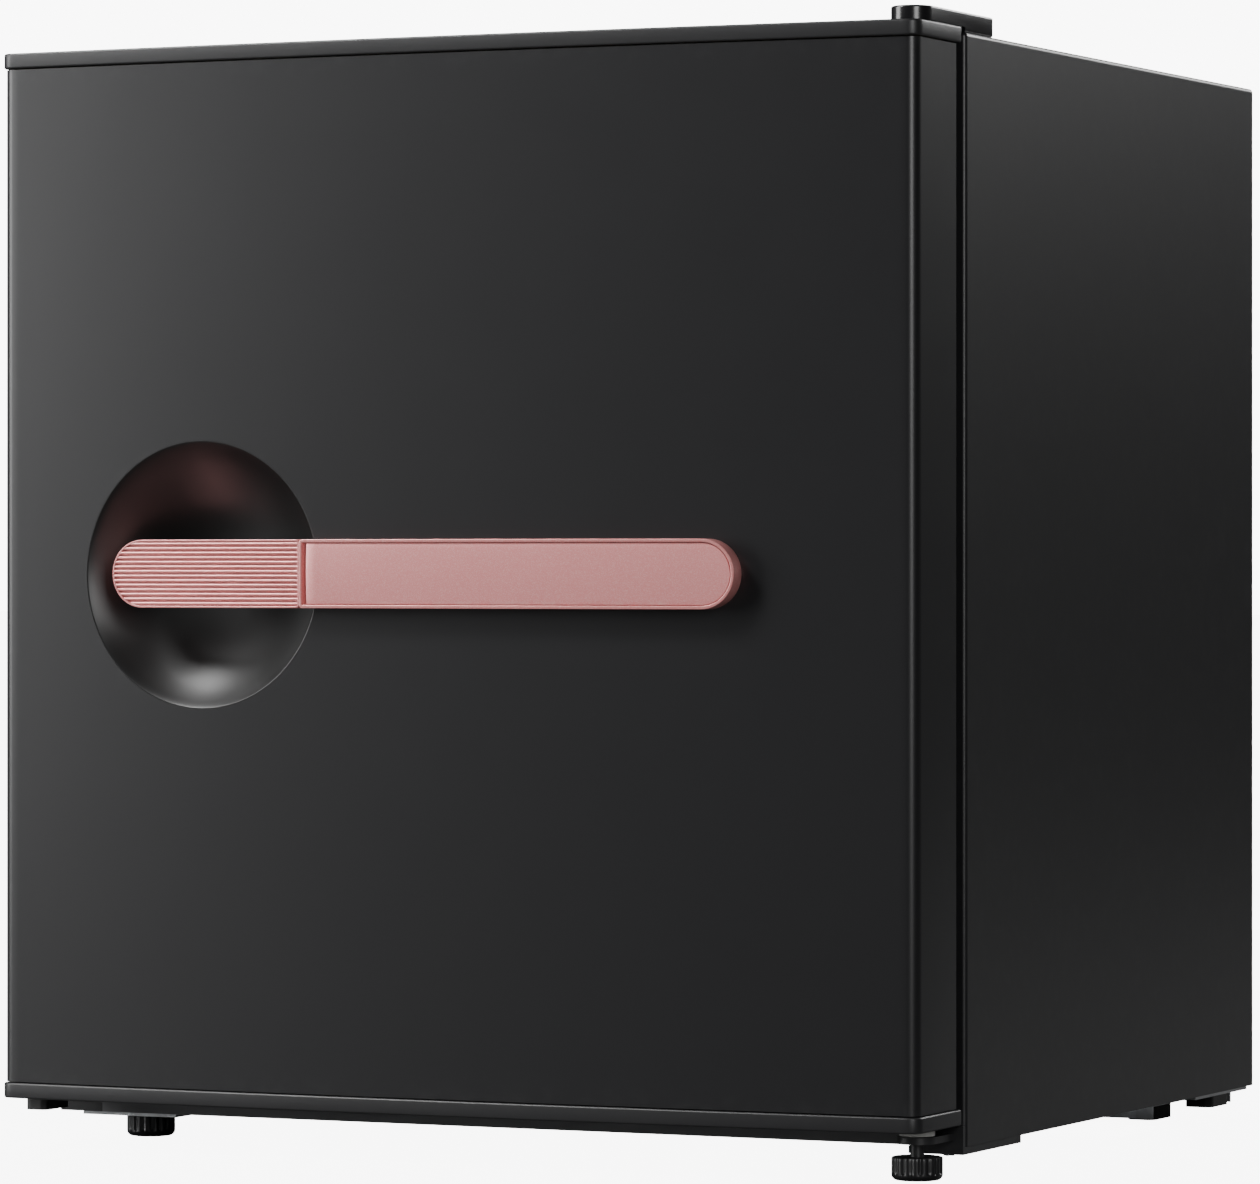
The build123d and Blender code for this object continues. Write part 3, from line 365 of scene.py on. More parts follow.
def new_material(name, metallic=0.0, specular=0.5, coat=0.0, coat_roughness=0.1):
    """An empty material: its tree, shader and Object coordinates."""
    material = bpy.data.materials.new(name)
    material.use_nodes = True
    tree = material.node_tree
    shader = tree.nodes["Principled BSDF"]
    shader.inputs["Metallic"].default_value = metallic
    shader.inputs["Specular IOR Level"].default_value = specular
    shader.inputs["Coat Weight"].default_value = coat
    shader.inputs["Coat Roughness"].default_value = coat_roughness
    place = add_node(tree, "ShaderNodeTexCoord").outputs["Object"]
    return material, tree, shader, place


def bump(tree, shader, height, depth):
    """Turns a height of 0..1, scaled to a depth in metres, into the shader's normal."""
    inputs = {"Height": height, "Distance": depth, "Strength": 1.0}
    node = add_node(tree, "ShaderNodeBump", inputs)
    tree.links.new(node.outputs["Normal"], shader.inputs["Normal"])


def finish_surface(tree, shader, place, rgb, roughness, smudges=0.08, dust=0.0, drift=0.08):
    """Base colour and roughness with handling and dust."""
    made = effect(tree, "Handling and dust", {
        "Coordinates": place, "Colour": rgb, "Roughness": roughness, "Smudges": smudges,
        "Dust": dust, "Drift": drift})
    tree.links.new(made["Colour"], shader.inputs["Base Color"])
    tree.links.new(made["Roughness"], shader.inputs["Roughness"])


def painted_steel(name, rgb, roughness, dust=0.08):
    """Satin sprayed paint with a faint orange peel, rubbed at its edges."""
    material, tree, shader, place = new_material(name)
    worn = effect(tree, "Edge wear", {
        "Coordinates": place, "Colour": opaque(rgb), "Bare Colour": (0.12, 0.12, 0.12, 1.0),
        "Amount": 0.05})
    finish_surface(tree, shader, place, worn["Colour"], roughness, 0.02, dust, 0.04)
    peel = effect(tree, "Fine grain", {"Coordinates": place, "Fineness": 520.0, "Pits": 0.12})
    bump(tree, shader, peel["Height"], 0.004 * MM)
    return material


def moulded_plastic(name, rgb, roughness=0.45, fineness=1500.0, depth=0.03, dust=0.05):
    """Moulded plastic with a fine spark-eroded texture."""
    material, tree, shader, place = new_material(name)
    finish_surface(tree, shader, place, opaque(rgb), roughness, 0.04, dust)
    grain = effect(tree, "Fine grain", {"Coordinates": place, "Fineness": fineness, "Pits": 0.4})
    bump(tree, shader, grain["Height"], depth * MM)
    return material


def gloss_moulding(name, rgb, roughness):
    """Smooth satin-gloss plastic with a clear skin and a few smudges."""
    material, tree, shader, place = new_material(name, coat=0.3, coat_roughness=0.2)
    finish_surface(tree, shader, place, opaque(rgb), roughness, 0.1, 0.04)
    ripple = effect(tree, "Fine grain", {"Coordinates": place, "Fineness": 140.0, "Pits": 0.0})
    bump(tree, shader, ripple["Height"], 0.01 * MM)
    return material


def rose_metallic(name, rgb, roughness, coat):
    """Rose metallic lacquer with fine flakes under a satin coat."""
    material, tree, shader, place = new_material(name, metallic=0.4, coat=coat, coat_roughness=0.25)
    inputs = {"Vector": place, "Scale": 5200.0}
    cells = add_node(tree, "ShaderNodeTexVoronoi", inputs).outputs["Color"]
    flake = add_node(tree, "ShaderNodeSeparateColor", {0: cells}).outputs[0]
    sparkle = calc(tree, "MULTIPLY", ramp(tree, flake, 0.6, 1.0), 0.3)
    flaked = mix_colour(tree, sparkle, opaque(rgb), (1.0, 0.84, 0.78, 1.0))
    worn = effect(tree, "Edge wear", {
        "Coordinates": place, "Colour": flaked, "Bare Colour": (0.86, 0.66, 0.6, 1.0),
        "Amount": 0.25})
    finish_surface(tree, shader, place, worn["Colour"], roughness, 0.07, 0.02, 0.05)
    peel = effect(tree, "Fine grain", {"Coordinates": place, "Fineness": 1100.0, "Pits": 0.2})
    bump(tree, shader, peel["Height"], 0.008 * MM)
    return material


def galvanised(name, rgb=(0.5, 0.51, 0.52), roughness=0.32):
    """Hot-dipped steel with zinc crystals."""
    material, tree, shader, place = new_material(name, metallic=1.0)
    zinc = effect(tree, "Zinc spangle", {"Coordinates": place, "Fineness": 320.0,
                                         "Colour": opaque(rgb), "Contrast": 0.4})
    rough = calc(tree, "ADD", zinc["Roughness"], roughness)
    finish_surface(tree, shader, place, zinc["Colour"], rough, 0.04, 0.1, 0.05)
    grain = effect(tree, "Fine grain", {"Coordinates": place, "Fineness": 700.0, "Pits": 0.3})
    bump(tree, shader, grain["Height"], 0.01 * MM)
    return material


def drawn_metal(name, rgb, stretch, roughness=0.25, tarnish=None):
    """Rolled, drawn or brushed metal, with patches of tarnish where asked."""
    material, tree, shader, place = new_material(name, metallic=1.0)
    lines = effect(tree, "Brushed lines", {"Coordinates": place, "Stretch": stretch,
                                           "Colour": opaque(rgb), "Depth": 0.15})
    base = lines["Colour"]
    if tarnish:
        patches = ramp(tree, noise(tree, place, 70.0, 5.0, 0.6), 0.45, 0.75)
        base = mix_colour(tree, patches, base, opaque(tarnish))
    rough = calc(tree, "ADD", lines["Roughness"], roughness)
    finish_surface(tree, shader, place, base, rough, 0.1, 0.08)
    bump(tree, shader, lines["Height"], 0.01 * MM)
    return material


def soft_rubber(name, rgb, roughness=0.7):
    """Matte rubber or vinyl with a bloom of dust."""
    material, tree, shader, place = new_material(name, specular=0.35)
    finish_surface(tree, shader, place, opaque(rgb), roughness, 0.12, 0.25, 0.2)
    grain = effect(tree, "Fine grain", {"Coordinates": place, "Fineness": 800.0, "Pits": 0.6})
    bump(tree, shader, grain["Height"], 0.04 * MM)
    return material


def foam_material(name, rgb):
    """Cut polyurethane foam with open cells."""
    material, tree, shader, place = new_material(name, specular=0.2)
    cells = add_node(tree, "ShaderNodeTexVoronoi", {"Vector": place, "Scale": 900.0})
    finish_surface(tree, shader, place, opaque(rgb), 0.9, 0.05, 0.0, 0.3)
    bump(tree, shader, cells.outputs["Distance"], 0.4 * MM)
    return material


def translucent_plastic(name, rgb, roughness=0.3):
    """Milky moulded plastic that lets a little light through."""
    material, tree, shader, place = new_material(name, coat=0.2)
    shader.inputs["Transmission Weight"].default_value = 0.25
    finish_surface(tree, shader, place, opaque(rgb), roughness, 0.08, 0.02)
    grain = effect(tree, "Fine grain", {"Coordinates": place, "Fineness": 600.0, "Pits": 0.2})
    bump(tree, shader, grain["Height"], 0.02 * MM)
    return material


PIPE_LINES = (40.0, 40.0, 2400.0)
UPRIGHT_LINES = (2400.0, 2400.0, 40.0)
WIDE_LINES = (30.0, 2000.0, 2000.0)


def material_makers():
    """How each finish of the record is made, by its slot."""
    c = colours()
    return {
        "cabinet_paint": lambda n: painted_steel(n, c.cabinet_black, 0.37, 0.006),
        # Sill grey: its own paint, set lighter as painted light for its front face, which lies in shade
        "sill_paint": lambda n: painted_steel(n, (0.16, 0.16, 0.165), 0.4),
        "galvanised_steel": galvanised,
        "liner_plastic": lambda n: moulded_plastic(n, c.liner, 0.32, 700.0, 0.02, 0.0),
        "foam": lambda n: foam_material(n, (0.75, 0.66, 0.4)),
        "plug_plastic": lambda n: moulded_plastic(n, (0.018, 0.018, 0.019)),
        "evaporator_aluminium": lambda n: drawn_metal(n, (0.72, 0.73, 0.74), WIDE_LINES, 0.3),
        "fitting_plastic": lambda n: translucent_plastic(n, (0.8, 0.83, 0.84)),
        "flap_plastic": lambda n: translucent_plastic(n, (0.72, 0.8, 0.84)),
        "shelf_wire": lambda n: painted_steel(n, (0.78, 0.78, 0.76), 0.3, 0.0),
        "knob_plastic": lambda n: moulded_plastic(n, (0.62, 0.65, 0.67), 0.35),
        "compressor_paint": lambda n: painted_steel(n, (0.014, 0.014, 0.015), 0.22, 0.5),
        "rubber_black": lambda n: soft_rubber(n, (0.02, 0.02, 0.02)),
        "zinc_steel": lambda n: drawn_metal(n, (0.58, 0.58, 0.55), UPRIGHT_LINES, 0.22),
        "relay_plastic": lambda n: moulded_plastic(n, (0.03, 0.03, 0.03), 0.5, 1200.0, 0.05, 0.3),
        "tray_plastic": lambda n: moulded_plastic(n, (0.68, 0.69, 0.66), 0.5, 900.0, 0.05, 0.3),
        "drain_plastic": lambda n: moulded_plastic(n, (0.72, 0.72, 0.7), 0.4),
        "gland_plastic": lambda n: moulded_plastic(n, (0.022, 0.022, 0.022), 0.5, 1200.0, 0.04, 0.2),
        "coil_paint": lambda n: painted_steel(n, (0.014, 0.014, 0.014), 0.35, 0.35),
        "copper": lambda n: drawn_metal(n, (0.72, 0.36, 0.22), PIPE_LINES, 0.22, (0.3, 0.15, 0.1)),
        "hinge_steel": lambda n: painted_steel(n, (0.02, 0.02, 0.021), 0.4, 0.05),
        "cover_gloss": lambda n: gloss_moulding(n, (0.008, 0.008, 0.009), 0.24),
        "foot_plastic": lambda n: moulded_plastic(n, (0.013, 0.013, 0.014), 0.3),
        "door_paint": lambda n: painted_steel(n, c.door_black, 0.34, 0.004),
        "cap_plastic": lambda n: moulded_plastic(n, c.cap_black, 0.4, 1600.0, 0.012, 0.01),
        # Recess black: its own plastic colour, set darker than the door as painted shade inside the
        # recess
        "recess_plastic": lambda n: moulded_plastic(n, (0.005, 0.005, 0.005), 0.36, 1600.0, 0.003, 0.0),
        "gasket_vinyl": lambda n: soft_rubber(n, (0.022, 0.022, 0.022), 0.5),
        "bin_plastic": lambda n: translucent_plastic(n, (0.82, 0.84, 0.85)),
        # Darker copy of the rose: own colour plus painted shade on the bar and grip
        "rose_metallic": lambda n: rose_metallic(n, c.rose, 0.3, 0.2),
        # Lighter copy of the rose: own colour plus painted light on the inlay
        "rose_inlay": lambda n: rose_metallic(n, c.inlay, 0.34, 0.3),
        "bush_plastic": lambda n: moulded_plastic(n, (0.6, 0.6, 0.57), 0.5),
    }


def finish(slot):
    """The material of a finish slot, made the first time it is asked for."""
    name = "Fridge " + slot.replace("_", " ")
    return bpy.data.materials.get(name) or material_makers()[slot](name)


# Mesh helpers -----------------------------------------------------------------------------

def bow_radius():
    """Radius of the door's bowed front."""
    bow = sizes().bow
    return (HALF ** 2 + bow ** 2) / (2 * bow)


def skin_y(x, ahead=0.0):
    """Y of the bowed steel skin at x, or of a face that far ahead of it."""
    radius = bow_radius()
    inset = sizes().sheet - ahead
    return DOOR_LOW.y + radius - math.sqrt((radius - inset) ** 2 - x ** 2)


def spread(start, end, count):
    """Evenly spaced values, both ends included."""
    return [start + (end - start) * index / count for index in range(count + 1)]


def arc(centre, radius, start, end, count):
    """Points on an arc, angles in degrees."""
    return [(centre[0] + radius * math.cos(math.radians(a)),
             centre[1] + radius * math.sin(math.radians(a))) for a in spread(start, end, count)]


def to_mesh(bm, name, recalculate=True):
    """A mesh from a bmesh, its doubles merged and its faces outwards."""
    bmesh.ops.remove_doubles(bm, verts=bm.verts, dist=1e-7)
    if recalculate:
        bmesh.ops.recalc_face_normals(bm, faces=bm.faces)
    mesh = bpy.data.meshes.new(name)
    bm.to_mesh(mesh)
    bm.free()
    return mesh


def new_object(name, mesh):
    """An object at the origin."""
    obj = bpy.data.objects.new(name, mesh)
    bpy.context.scene.collection.objects.link(obj)
    return obj


def modifier(obj, kind, **settings):
    """Adds a modifier with its settings."""
    made = obj.modifiers.new(kind.title(), kind)
    for name, value in settings.items():
        setattr(made, name, value)
    return made


def rounded(obj, width, segments=3, angle=35.0):
    """Bevels every edge sharper than the angle."""
    return modifier(obj, "BEVEL", width=width, segments=segments, limit_method="ANGLE",
                    angle_limit=math.radians(angle), use_clamp_overlap=True)


def plain_mesh(obj):
    """Turns what the modifiers make into the object's own mesh."""
    depsgraph = bpy.context.evaluated_depsgraph_get()
    mesh = bpy.data.meshes.new_from_object(obj.evaluated_get(depsgraph), depsgraph=depsgraph)
    obj.modifiers.clear()
    obj.data = mesh
    return obj


def finished(obj, body, slot, *nodes, angle=32.0):
    """Bakes a piece, shades it and hands it to the frame."""
    plain_mesh(obj)
    if not obj.data.polygons:
        raise RuntimeError(f"{obj.name} came out empty")
    obj.data.materials.clear()
    obj.data.materials.append(finish(slot))
    obj.data.shade_smooth()
    obj.data.set_sharp_from_angle(angle=math.radians(angle))
    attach(obj, body)
    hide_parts(*nodes)
    return obj


def join_meshes(name, objects):
    """One object from several, with their modifiers baked."""
    bm = bmesh.new()
    for obj in objects:
        plain_mesh(obj)
        bm.from_mesh(obj.data)
        bpy.data.objects.remove(obj)
    mesh = bpy.data.meshes.new(name)
    bm.to_mesh(mesh)
    bm.free()
    return new_object(name, mesh)


def grid_faces(bm, rows, closed_rows=False, closed_columns=False):
    """Quads between rows of vertices."""
    row_count = len(rows) if closed_rows else len(rows) - 1
    for r in range(row_count):
        lower, upper = rows[r], rows[(r + 1) % len(rows)]
        column_count = len(lower) if closed_columns else len(lower) - 1
        for c in range(column_count):
            d = (c + 1) % len(lower)
            corners = [lower[c], lower[d], upper[d], upper[c]]
            corners = [v for i, v in enumerate(corners) if v is not corners[i - 1]]
            if len(corners) > 2:
                bm.faces.new(corners)


def prism(name, outline, z0, z1):
    """Upright prism from an (x, y) outline."""
    bm = bmesh.new()
    low = [bm.verts.new((x, y, z0)) for x, y in outline]
    high = [bm.verts.new((x, y, z1)) for x, y in outline]
    bm.faces.new(low)
    bm.faces.new(high)
    grid_faces(bm, [low, high], closed_columns=True)
    return new_object(name, to_mesh(bm, name))


def lathe(name, profile, segments, place):
    """Turned piece: a closed (radius, height) profile carried round by place(angle, r, h)."""
    bm = bmesh.new()
    rows = []
    for step in range(segments):
        angle = 2 * math.pi * step / segments
        rows.append([bm.verts.new(place(angle, r, h)) for r, h in profile])
    grid_faces(bm, rows, closed_rows=True, closed_columns=True)
    return new_object(name, to_mesh(bm, name))


def upright(x, y):
    """Placing rule for a piece turned about an upright axis."""
    return lambda angle, r, h: (x + r * math.cos(angle), y + r * math.sin(angle), h)


def rounded_loop(low, high, radii, steps):
    """Rounded rectangle as (u, v, normal u, normal v); radii go round from low u, low v."""
    corners = [
        (low[0], low[1], 1, 1, 180), (high[0], low[1], -1, 1, 270),
        (high[0], high[1], -1, -1, 0), (low[0], high[1], 1, -1, 90),
    ]
    loop = []
    for (u, v, du, dv, start), radius in zip(corners, radii):
        centre = (u + du * radius, v + dv * radius)
        for turn in spread(start, start + 90, steps):
            nu, nv = math.cos(math.radians(turn)), math.sin(math.radians(turn))
            loop.append((centre[0] + radius * nu, centre[1] + radius * nv, nu, nv))
    return loop


def subdivide_loop(loop, longest):
    """The same loop with its long straight sides divided."""
    fine = []
    for here, there in zip(loop, loop[1:] + loop[:1]):
        gap = math.dist(here[:2], there[:2])
        count = max(1, math.ceil(gap / longest))
        for step in range(count):
            fine.append(tuple(a + (b - a) * step / count for a, b in zip(here, there)))
    return fine


def loop_sweep(name, loop, profile, place):
    """Carries a closed (outward, along) profile round a loop."""
    bm = bmesh.new()
    rows = [[bm.verts.new(place(u + nu * out, v + nv * out, along)) for out, along in profile]
            for u, v, nu, nv in loop]
    grid_faces(bm, rows, closed_rows=True, closed_columns=True)
    return new_object(name, to_mesh(bm, name))


def round_profile(radius, count):
    """Circle as a profile."""
    return arc((0, 0), radius, 0, 360 - 360 / count, count - 1)


def cut(obj, *tools):
    """Cuts other solids out of a piece."""
    plain_mesh(obj)
    for tool in tools:
        plain_mesh(tool)
        modifier(obj, "BOOLEAN", operation="DIFFERENCE", object=tool, solver="EXACT")
        plain_mesh(obj)
        bpy.data.objects.remove(tool)
    return obj


def block(name, low, high):
    """Box between two corners, as a cutting tool."""
    outline = [(low[0], low[1]), (high[0], low[1]), (high[0], high[1]), (low[0], high[1])]
    return prism(name, outline, low[2], high[2])


def disc(x, y, radius, count=32):
    """Round outline."""
    return [(x + px, y + py) for px, py in round_profile(radius, count)]


# Geometry Nodes ---------------------------------------------------------------------------

def geometry_tree(name, inputs):
    """A Geometry Nodes tree with named inputs; returns it with its end nodes."""
    tree = bpy.data.node_groups.new(name, "GeometryNodeTree")
    tree.interface.new_socket("Geometry", in_out="INPUT", socket_type="NodeSocketGeometry")
    for socket, kind in inputs:
        tree.interface.new_socket(socket, in_out="INPUT", socket_type=kind)
    tree.interface.new_socket("Geometry", in_out="OUTPUT", socket_type="NodeSocketGeometry")
    return tree, tree.nodes.new("NodeGroupInput"), tree.nodes.new("NodeGroupOutput")


def end_tree(tree, given, result, geometry):
    """Realizes instances, sets the material and ends the tree."""
    real = add_node(tree, "GeometryNodeRealizeInstances", {"Geometry": geometry})
    painted = add_node(tree, "GeometryNodeSetMaterial",
                       {"Geometry": real.outputs[0], "Material": given.outputs["Material"]})
    tree.links.new(painted.outputs[0], result.inputs[0])


INTEGER, MATERIAL = "NodeSocketInt", "NodeSocketMaterial"


def rod_row_tree():
    """A row of equal rods."""
    tree, given, result = geometry_tree("Row of rods", [
        ("Count", INTEGER), ("First", VECTOR), ("Step", VECTOR), ("Turn", VECTOR),
        ("Length", FLOAT), ("Radius", FLOAT), ("Material", MATERIAL)])
    line = add_node(tree, "GeometryNodeMeshLine", {
        "Count": given.outputs["Count"], "Start Location": given.outputs["First"],
        "Offset": given.outputs["Step"]}, mode="OFFSET")
    rod = add_node(tree, "GeometryNodeMeshCylinder", {
        "Vertices": 10, "Radius": given.outputs["Radius"], "Depth": given.outputs["Length"]})
    turned = add_node(tree, "GeometryNodeTransform",
                      {"Geometry": rod.outputs["Mesh"], "Rotation": given.outputs["Turn"]})
    rods = add_node(tree, "GeometryNodeInstanceOnPoints",
                    {"Points": line.outputs["Mesh"], "Instance": turned.outputs[0]})
    end_tree(tree, given, result, rods.outputs[0])
    return tree


def grip_rib_tree():
    """Round ribs across the handle's rounded end, following the door's bow."""
    tree, given, result = geometry_tree("Grip ribs", [
        ("Count", INTEGER), ("First", VECTOR), ("Step", VECTOR), ("End Radius", FLOAT),
        ("Left", FLOAT), ("Right", FLOAT), ("Middle Height", FLOAT), ("Rib Radius", FLOAT),
        ("Bow Radius", FLOAT), ("Material", MATERIAL)])
    line = add_node(tree, "GeometryNodeMeshLine", {
        "Count": given.outputs["Count"], "Start Location": given.outputs["First"],
        "Offset": given.outputs["Step"]}, mode="OFFSET")
    where = add_node(tree, "GeometryNodeInputPosition").outputs[0]
    height = add_node(tree, "ShaderNodeSeparateXYZ", {0: where}).outputs["Z"]
    radius = given.outputs["End Radius"]
    rise = calc(tree, "SUBTRACT", height, given.outputs["Middle Height"])
    inside = calc(tree, "SUBTRACT", calc(tree, "MULTIPLY", radius, radius),
                  calc(tree, "MULTIPLY", rise, rise))
    reach = calc(tree, "SQRT", calc(tree, "MAXIMUM", inside, 0.0))
    left = calc(tree, "SUBTRACT", calc(tree, "ADD", given.outputs["Left"], radius), reach)
    middle = calc(tree, "MULTIPLY", calc(tree, "ADD", left, given.outputs["Right"]), 0.5)
    span = calc(tree, "SUBTRACT", given.outputs["Right"], left)
    rod = add_node(tree, "GeometryNodeMeshCylinder", {
        "Vertices": 10, "Side Segments": 24, "Radius": given.outputs["Rib Radius"], "Depth": 1.0})
    turned = add_node(tree, "GeometryNodeTransform", {
        "Geometry": rod.outputs["Mesh"], "Rotation": (0.0, math.pi / 2, 0.0)})
    shift = add_node(tree, "ShaderNodeCombineXYZ", {"X": middle}).outputs[0]
    centred = add_node(tree, "GeometryNodeSetPosition", {
        "Geometry": line.outputs["Mesh"], "Offset": shift})
    ends = []
    for x in (left, given.outputs["Right"]):
        place = add_node(tree, "ShaderNodeCombineXYZ", {"X": x}).outputs[0]
        ends.append(add_node(tree, "GeometryNodeSetPosition", {
            "Geometry": line.outputs["Mesh"], "Offset": place}).outputs[0])
    scale = add_node(tree, "ShaderNodeCombineXYZ", {"X": span, "Y": 1.0, "Z": 1.0}).outputs[0]
    captured = add_node(tree, "GeometryNodeCaptureAttribute", {"Geometry": line.outputs["Mesh"]})
    captured.capture_items.new("VECTOR", "Scale")
    tree.links.new(scale, captured.inputs["Scale"])
    tree.links.new(captured.outputs["Geometry"], centred.inputs["Geometry"])
    rods = add_node(tree, "GeometryNodeInstanceOnPoints", {
        "Points": centred.outputs[0], "Instance": turned.outputs[0],
        "Scale": captured.outputs["Scale"]})
    ball = add_node(tree, "GeometryNodeMeshUVSphere", {
        "Segments": 10, "Rings": 6, "Radius": given.outputs["Rib Radius"]})
    joined = add_node(tree, "GeometryNodeJoinGeometry", {"Geometry": rods.outputs[0]})
    for points in ends:
        balls = add_node(tree, "GeometryNodeInstanceOnPoints",
                         {"Points": points, "Instance": ball.outputs["Mesh"]})
        tree.links.new(balls.outputs[0], joined.inputs[0])
    real = add_node(tree, "GeometryNodeRealizeInstances", {"Geometry": joined.outputs[0]})
    across = add_node(tree, "ShaderNodeSeparateXYZ", {0: where}).outputs["X"]
    bow = given.outputs["Bow Radius"]
    root = calc(tree, "SQRT", calc(tree, "SUBTRACT", calc(tree, "MULTIPLY", bow, bow),
                                   calc(tree, "MULTIPLY", across, across)))
    sag = add_node(tree, "ShaderNodeCombineXYZ", {"Y": calc(tree, "SUBTRACT", bow, root)})
    bent = add_node(tree, "GeometryNodeSetPosition",
                    {"Geometry": real.outputs[0], "Offset": sag.outputs[0]})
    end_tree(tree, given, result, bent.outputs[0])
    return tree


def screw_tree():
    """Cross-head screws on the object's own points."""
    tree, given, result = geometry_tree("Cross-head screws", [
        ("Turn", VECTOR), ("Head Radius", FLOAT), ("Head Height", FLOAT), ("Shank Radius", FLOAT),
        ("Shank Length", FLOAT), ("Material", MATERIAL)])
    radius, tall = given.outputs["Head Radius"], given.outputs["Head Height"]
    lower = add_node(tree, "GeometryNodeMeshCylinder", {
        "Vertices": 32, "Radius": radius, "Depth": calc(tree, "MULTIPLY", tall, 0.5)})
    low = add_node(tree, "ShaderNodeCombineXYZ", {"Z": calc(tree, "MULTIPLY", tall, 0.25)})
    seat = add_node(tree, "GeometryNodeTransform",
                    {"Geometry": lower.outputs["Mesh"], "Translation": low.outputs[0]})
    dome = add_node(tree, "GeometryNodeMeshCone", {
        "Vertices": 32, "Side Segments": 1, "Radius Top": calc(tree, "MULTIPLY", radius, 0.72),
        "Radius Bottom": radius, "Depth": calc(tree, "MULTIPLY", tall, 0.5)})
    top = add_node(tree, "ShaderNodeCombineXYZ", {"Z": calc(tree, "MULTIPLY", tall, 0.5)})
    crown = add_node(tree, "GeometryNodeTransform",
                     {"Geometry": dome.outputs["Mesh"], "Translation": top.outputs[0]})
    cross = add_node(tree, "GeometryNodeJoinGeometry")
    wide, thin = calc(tree, "MULTIPLY", radius, 1.2), calc(tree, "MULTIPLY", radius, 0.26)
    for across, along in ((wide, thin), (thin, wide)):
        size = add_node(tree, "ShaderNodeCombineXYZ", {"X": across, "Y": along, "Z": tall})
        bar = add_node(tree, "GeometryNodeMeshCube", {"Size": size.outputs[0]})
        over = add_node(tree, "ShaderNodeCombineXYZ", {"Z": calc(tree, "MULTIPLY", tall, 1.1)})
        raised = add_node(tree, "GeometryNodeTransform",
                          {"Geometry": bar.outputs["Mesh"], "Translation": over.outputs[0]})
        tree.links.new(raised.outputs[0], cross.inputs[0])
    recessed = add_node(tree, "GeometryNodeMeshBoolean", {"Mesh 1": crown.outputs[0]},
                        operation="DIFFERENCE")
    tree.links.new(cross.outputs[0], recessed.inputs["Mesh 2"])
    shank = add_node(tree, "GeometryNodeMeshCylinder", {
        "Vertices": 20, "Radius": given.outputs["Shank Radius"],
        "Depth": given.outputs["Shank Length"]})
    down = calc(tree, "MULTIPLY", given.outputs["Shank Length"], -0.5)
    under = add_node(tree, "ShaderNodeCombineXYZ", {"Z": down})
    lowered = add_node(tree, "GeometryNodeTransform",
                       {"Geometry": shank.outputs["Mesh"], "Translation": under.outputs[0]})
    whole = add_node(tree, "GeometryNodeJoinGeometry", {0: recessed.outputs[0]})
    tree.links.new(seat.outputs[0], whole.inputs[0])
    tree.links.new(lowered.outputs[0], whole.inputs[0])
    turned = add_node(tree, "GeometryNodeTransform",
                      {"Geometry": whole.outputs[0], "Rotation": given.outputs["Turn"]})
    placed = add_node(tree, "GeometryNodeInstanceOnPoints",
                      {"Points": given.outputs["Geometry"], "Instance": turned.outputs[0]})
    end_tree(tree, given, result, placed.outputs[0])
    return tree


TREE_MAKERS = {
    "Row of rods": rod_row_tree,
    "Grip ribs": grip_rib_tree,
    "Cross-head screws": screw_tree,
}


def repeated(name, tree_name, values, slot, points=()):
    """An object whose Geometry Nodes modifier makes repeated pieces."""
    tree = bpy.data.node_groups.get(tree_name) or TREE_MAKERS[tree_name]()
    mesh = bpy.data.meshes.new(name)
    mesh.from_pydata([tuple(p) for p in points], [], [])
    obj = new_object(name, mesh)
    nodes = obj.modifiers.new("Repeat", "NODES")
    nodes.node_group = tree
    values = dict(values, Material=finish(slot))
    for item in tree.interface.items_tree:
        if item.in_out == "INPUT" and item.name in values:
            nodes[item.identifier] = values[item.name]
    return obj


# Door -------------------------------------------------------------------------------------

def front_corner(half, ahead, radius):
    """Centre of a door front corner and the angle where it meets the bowed front."""
    bow = bow_radius()
    reach = bow - sizes().sheet + ahead - radius
    centre_y = DOOR_LOW.y + bow - math.sqrt(reach ** 2 - (half - radius) ** 2)
    meets = math.degrees(math.asin((half - radius) / reach))
    return (half - radius, centre_y), meets


def door_path(half, ahead, back, radius, fronts):
    """Door plan as (x, y) points: left side, bowed front through the given xs, right side."""
    (cx, cy), lean = front_corner(half, ahead, radius)
    left = arc((-cx, cy), radius, 180, 270 - lean, 8)
    right = arc((cx, cy), radius, 270 + lean, 360, 8)
    edge = -left[-1][0]
    front = [(x, skin_y(x, ahead)) for x in fronts if abs(x) < edge - 0.5 * MM]
    return [(-half, back)] + left + front + right + [(half, back)]


def door_skin_rows(hole, reach, count):
    """Xs across the front and heights up the door, with even steps over the recess."""
    x, z = hole.x, hole.z
    xs = spread(-HALF, x - reach, 8) + spread(x - reach, x + reach, count)[1:]
    xs += spread(x + reach, HALF, 30)[1:]
    zs = spread(PANEL_LOW.z, z - reach, 10) + spread(z - reach, z + reach, count)[1:]
    zs += spread(z + reach, PANEL_HIGH.z, 10)[1:]
    return xs, zs


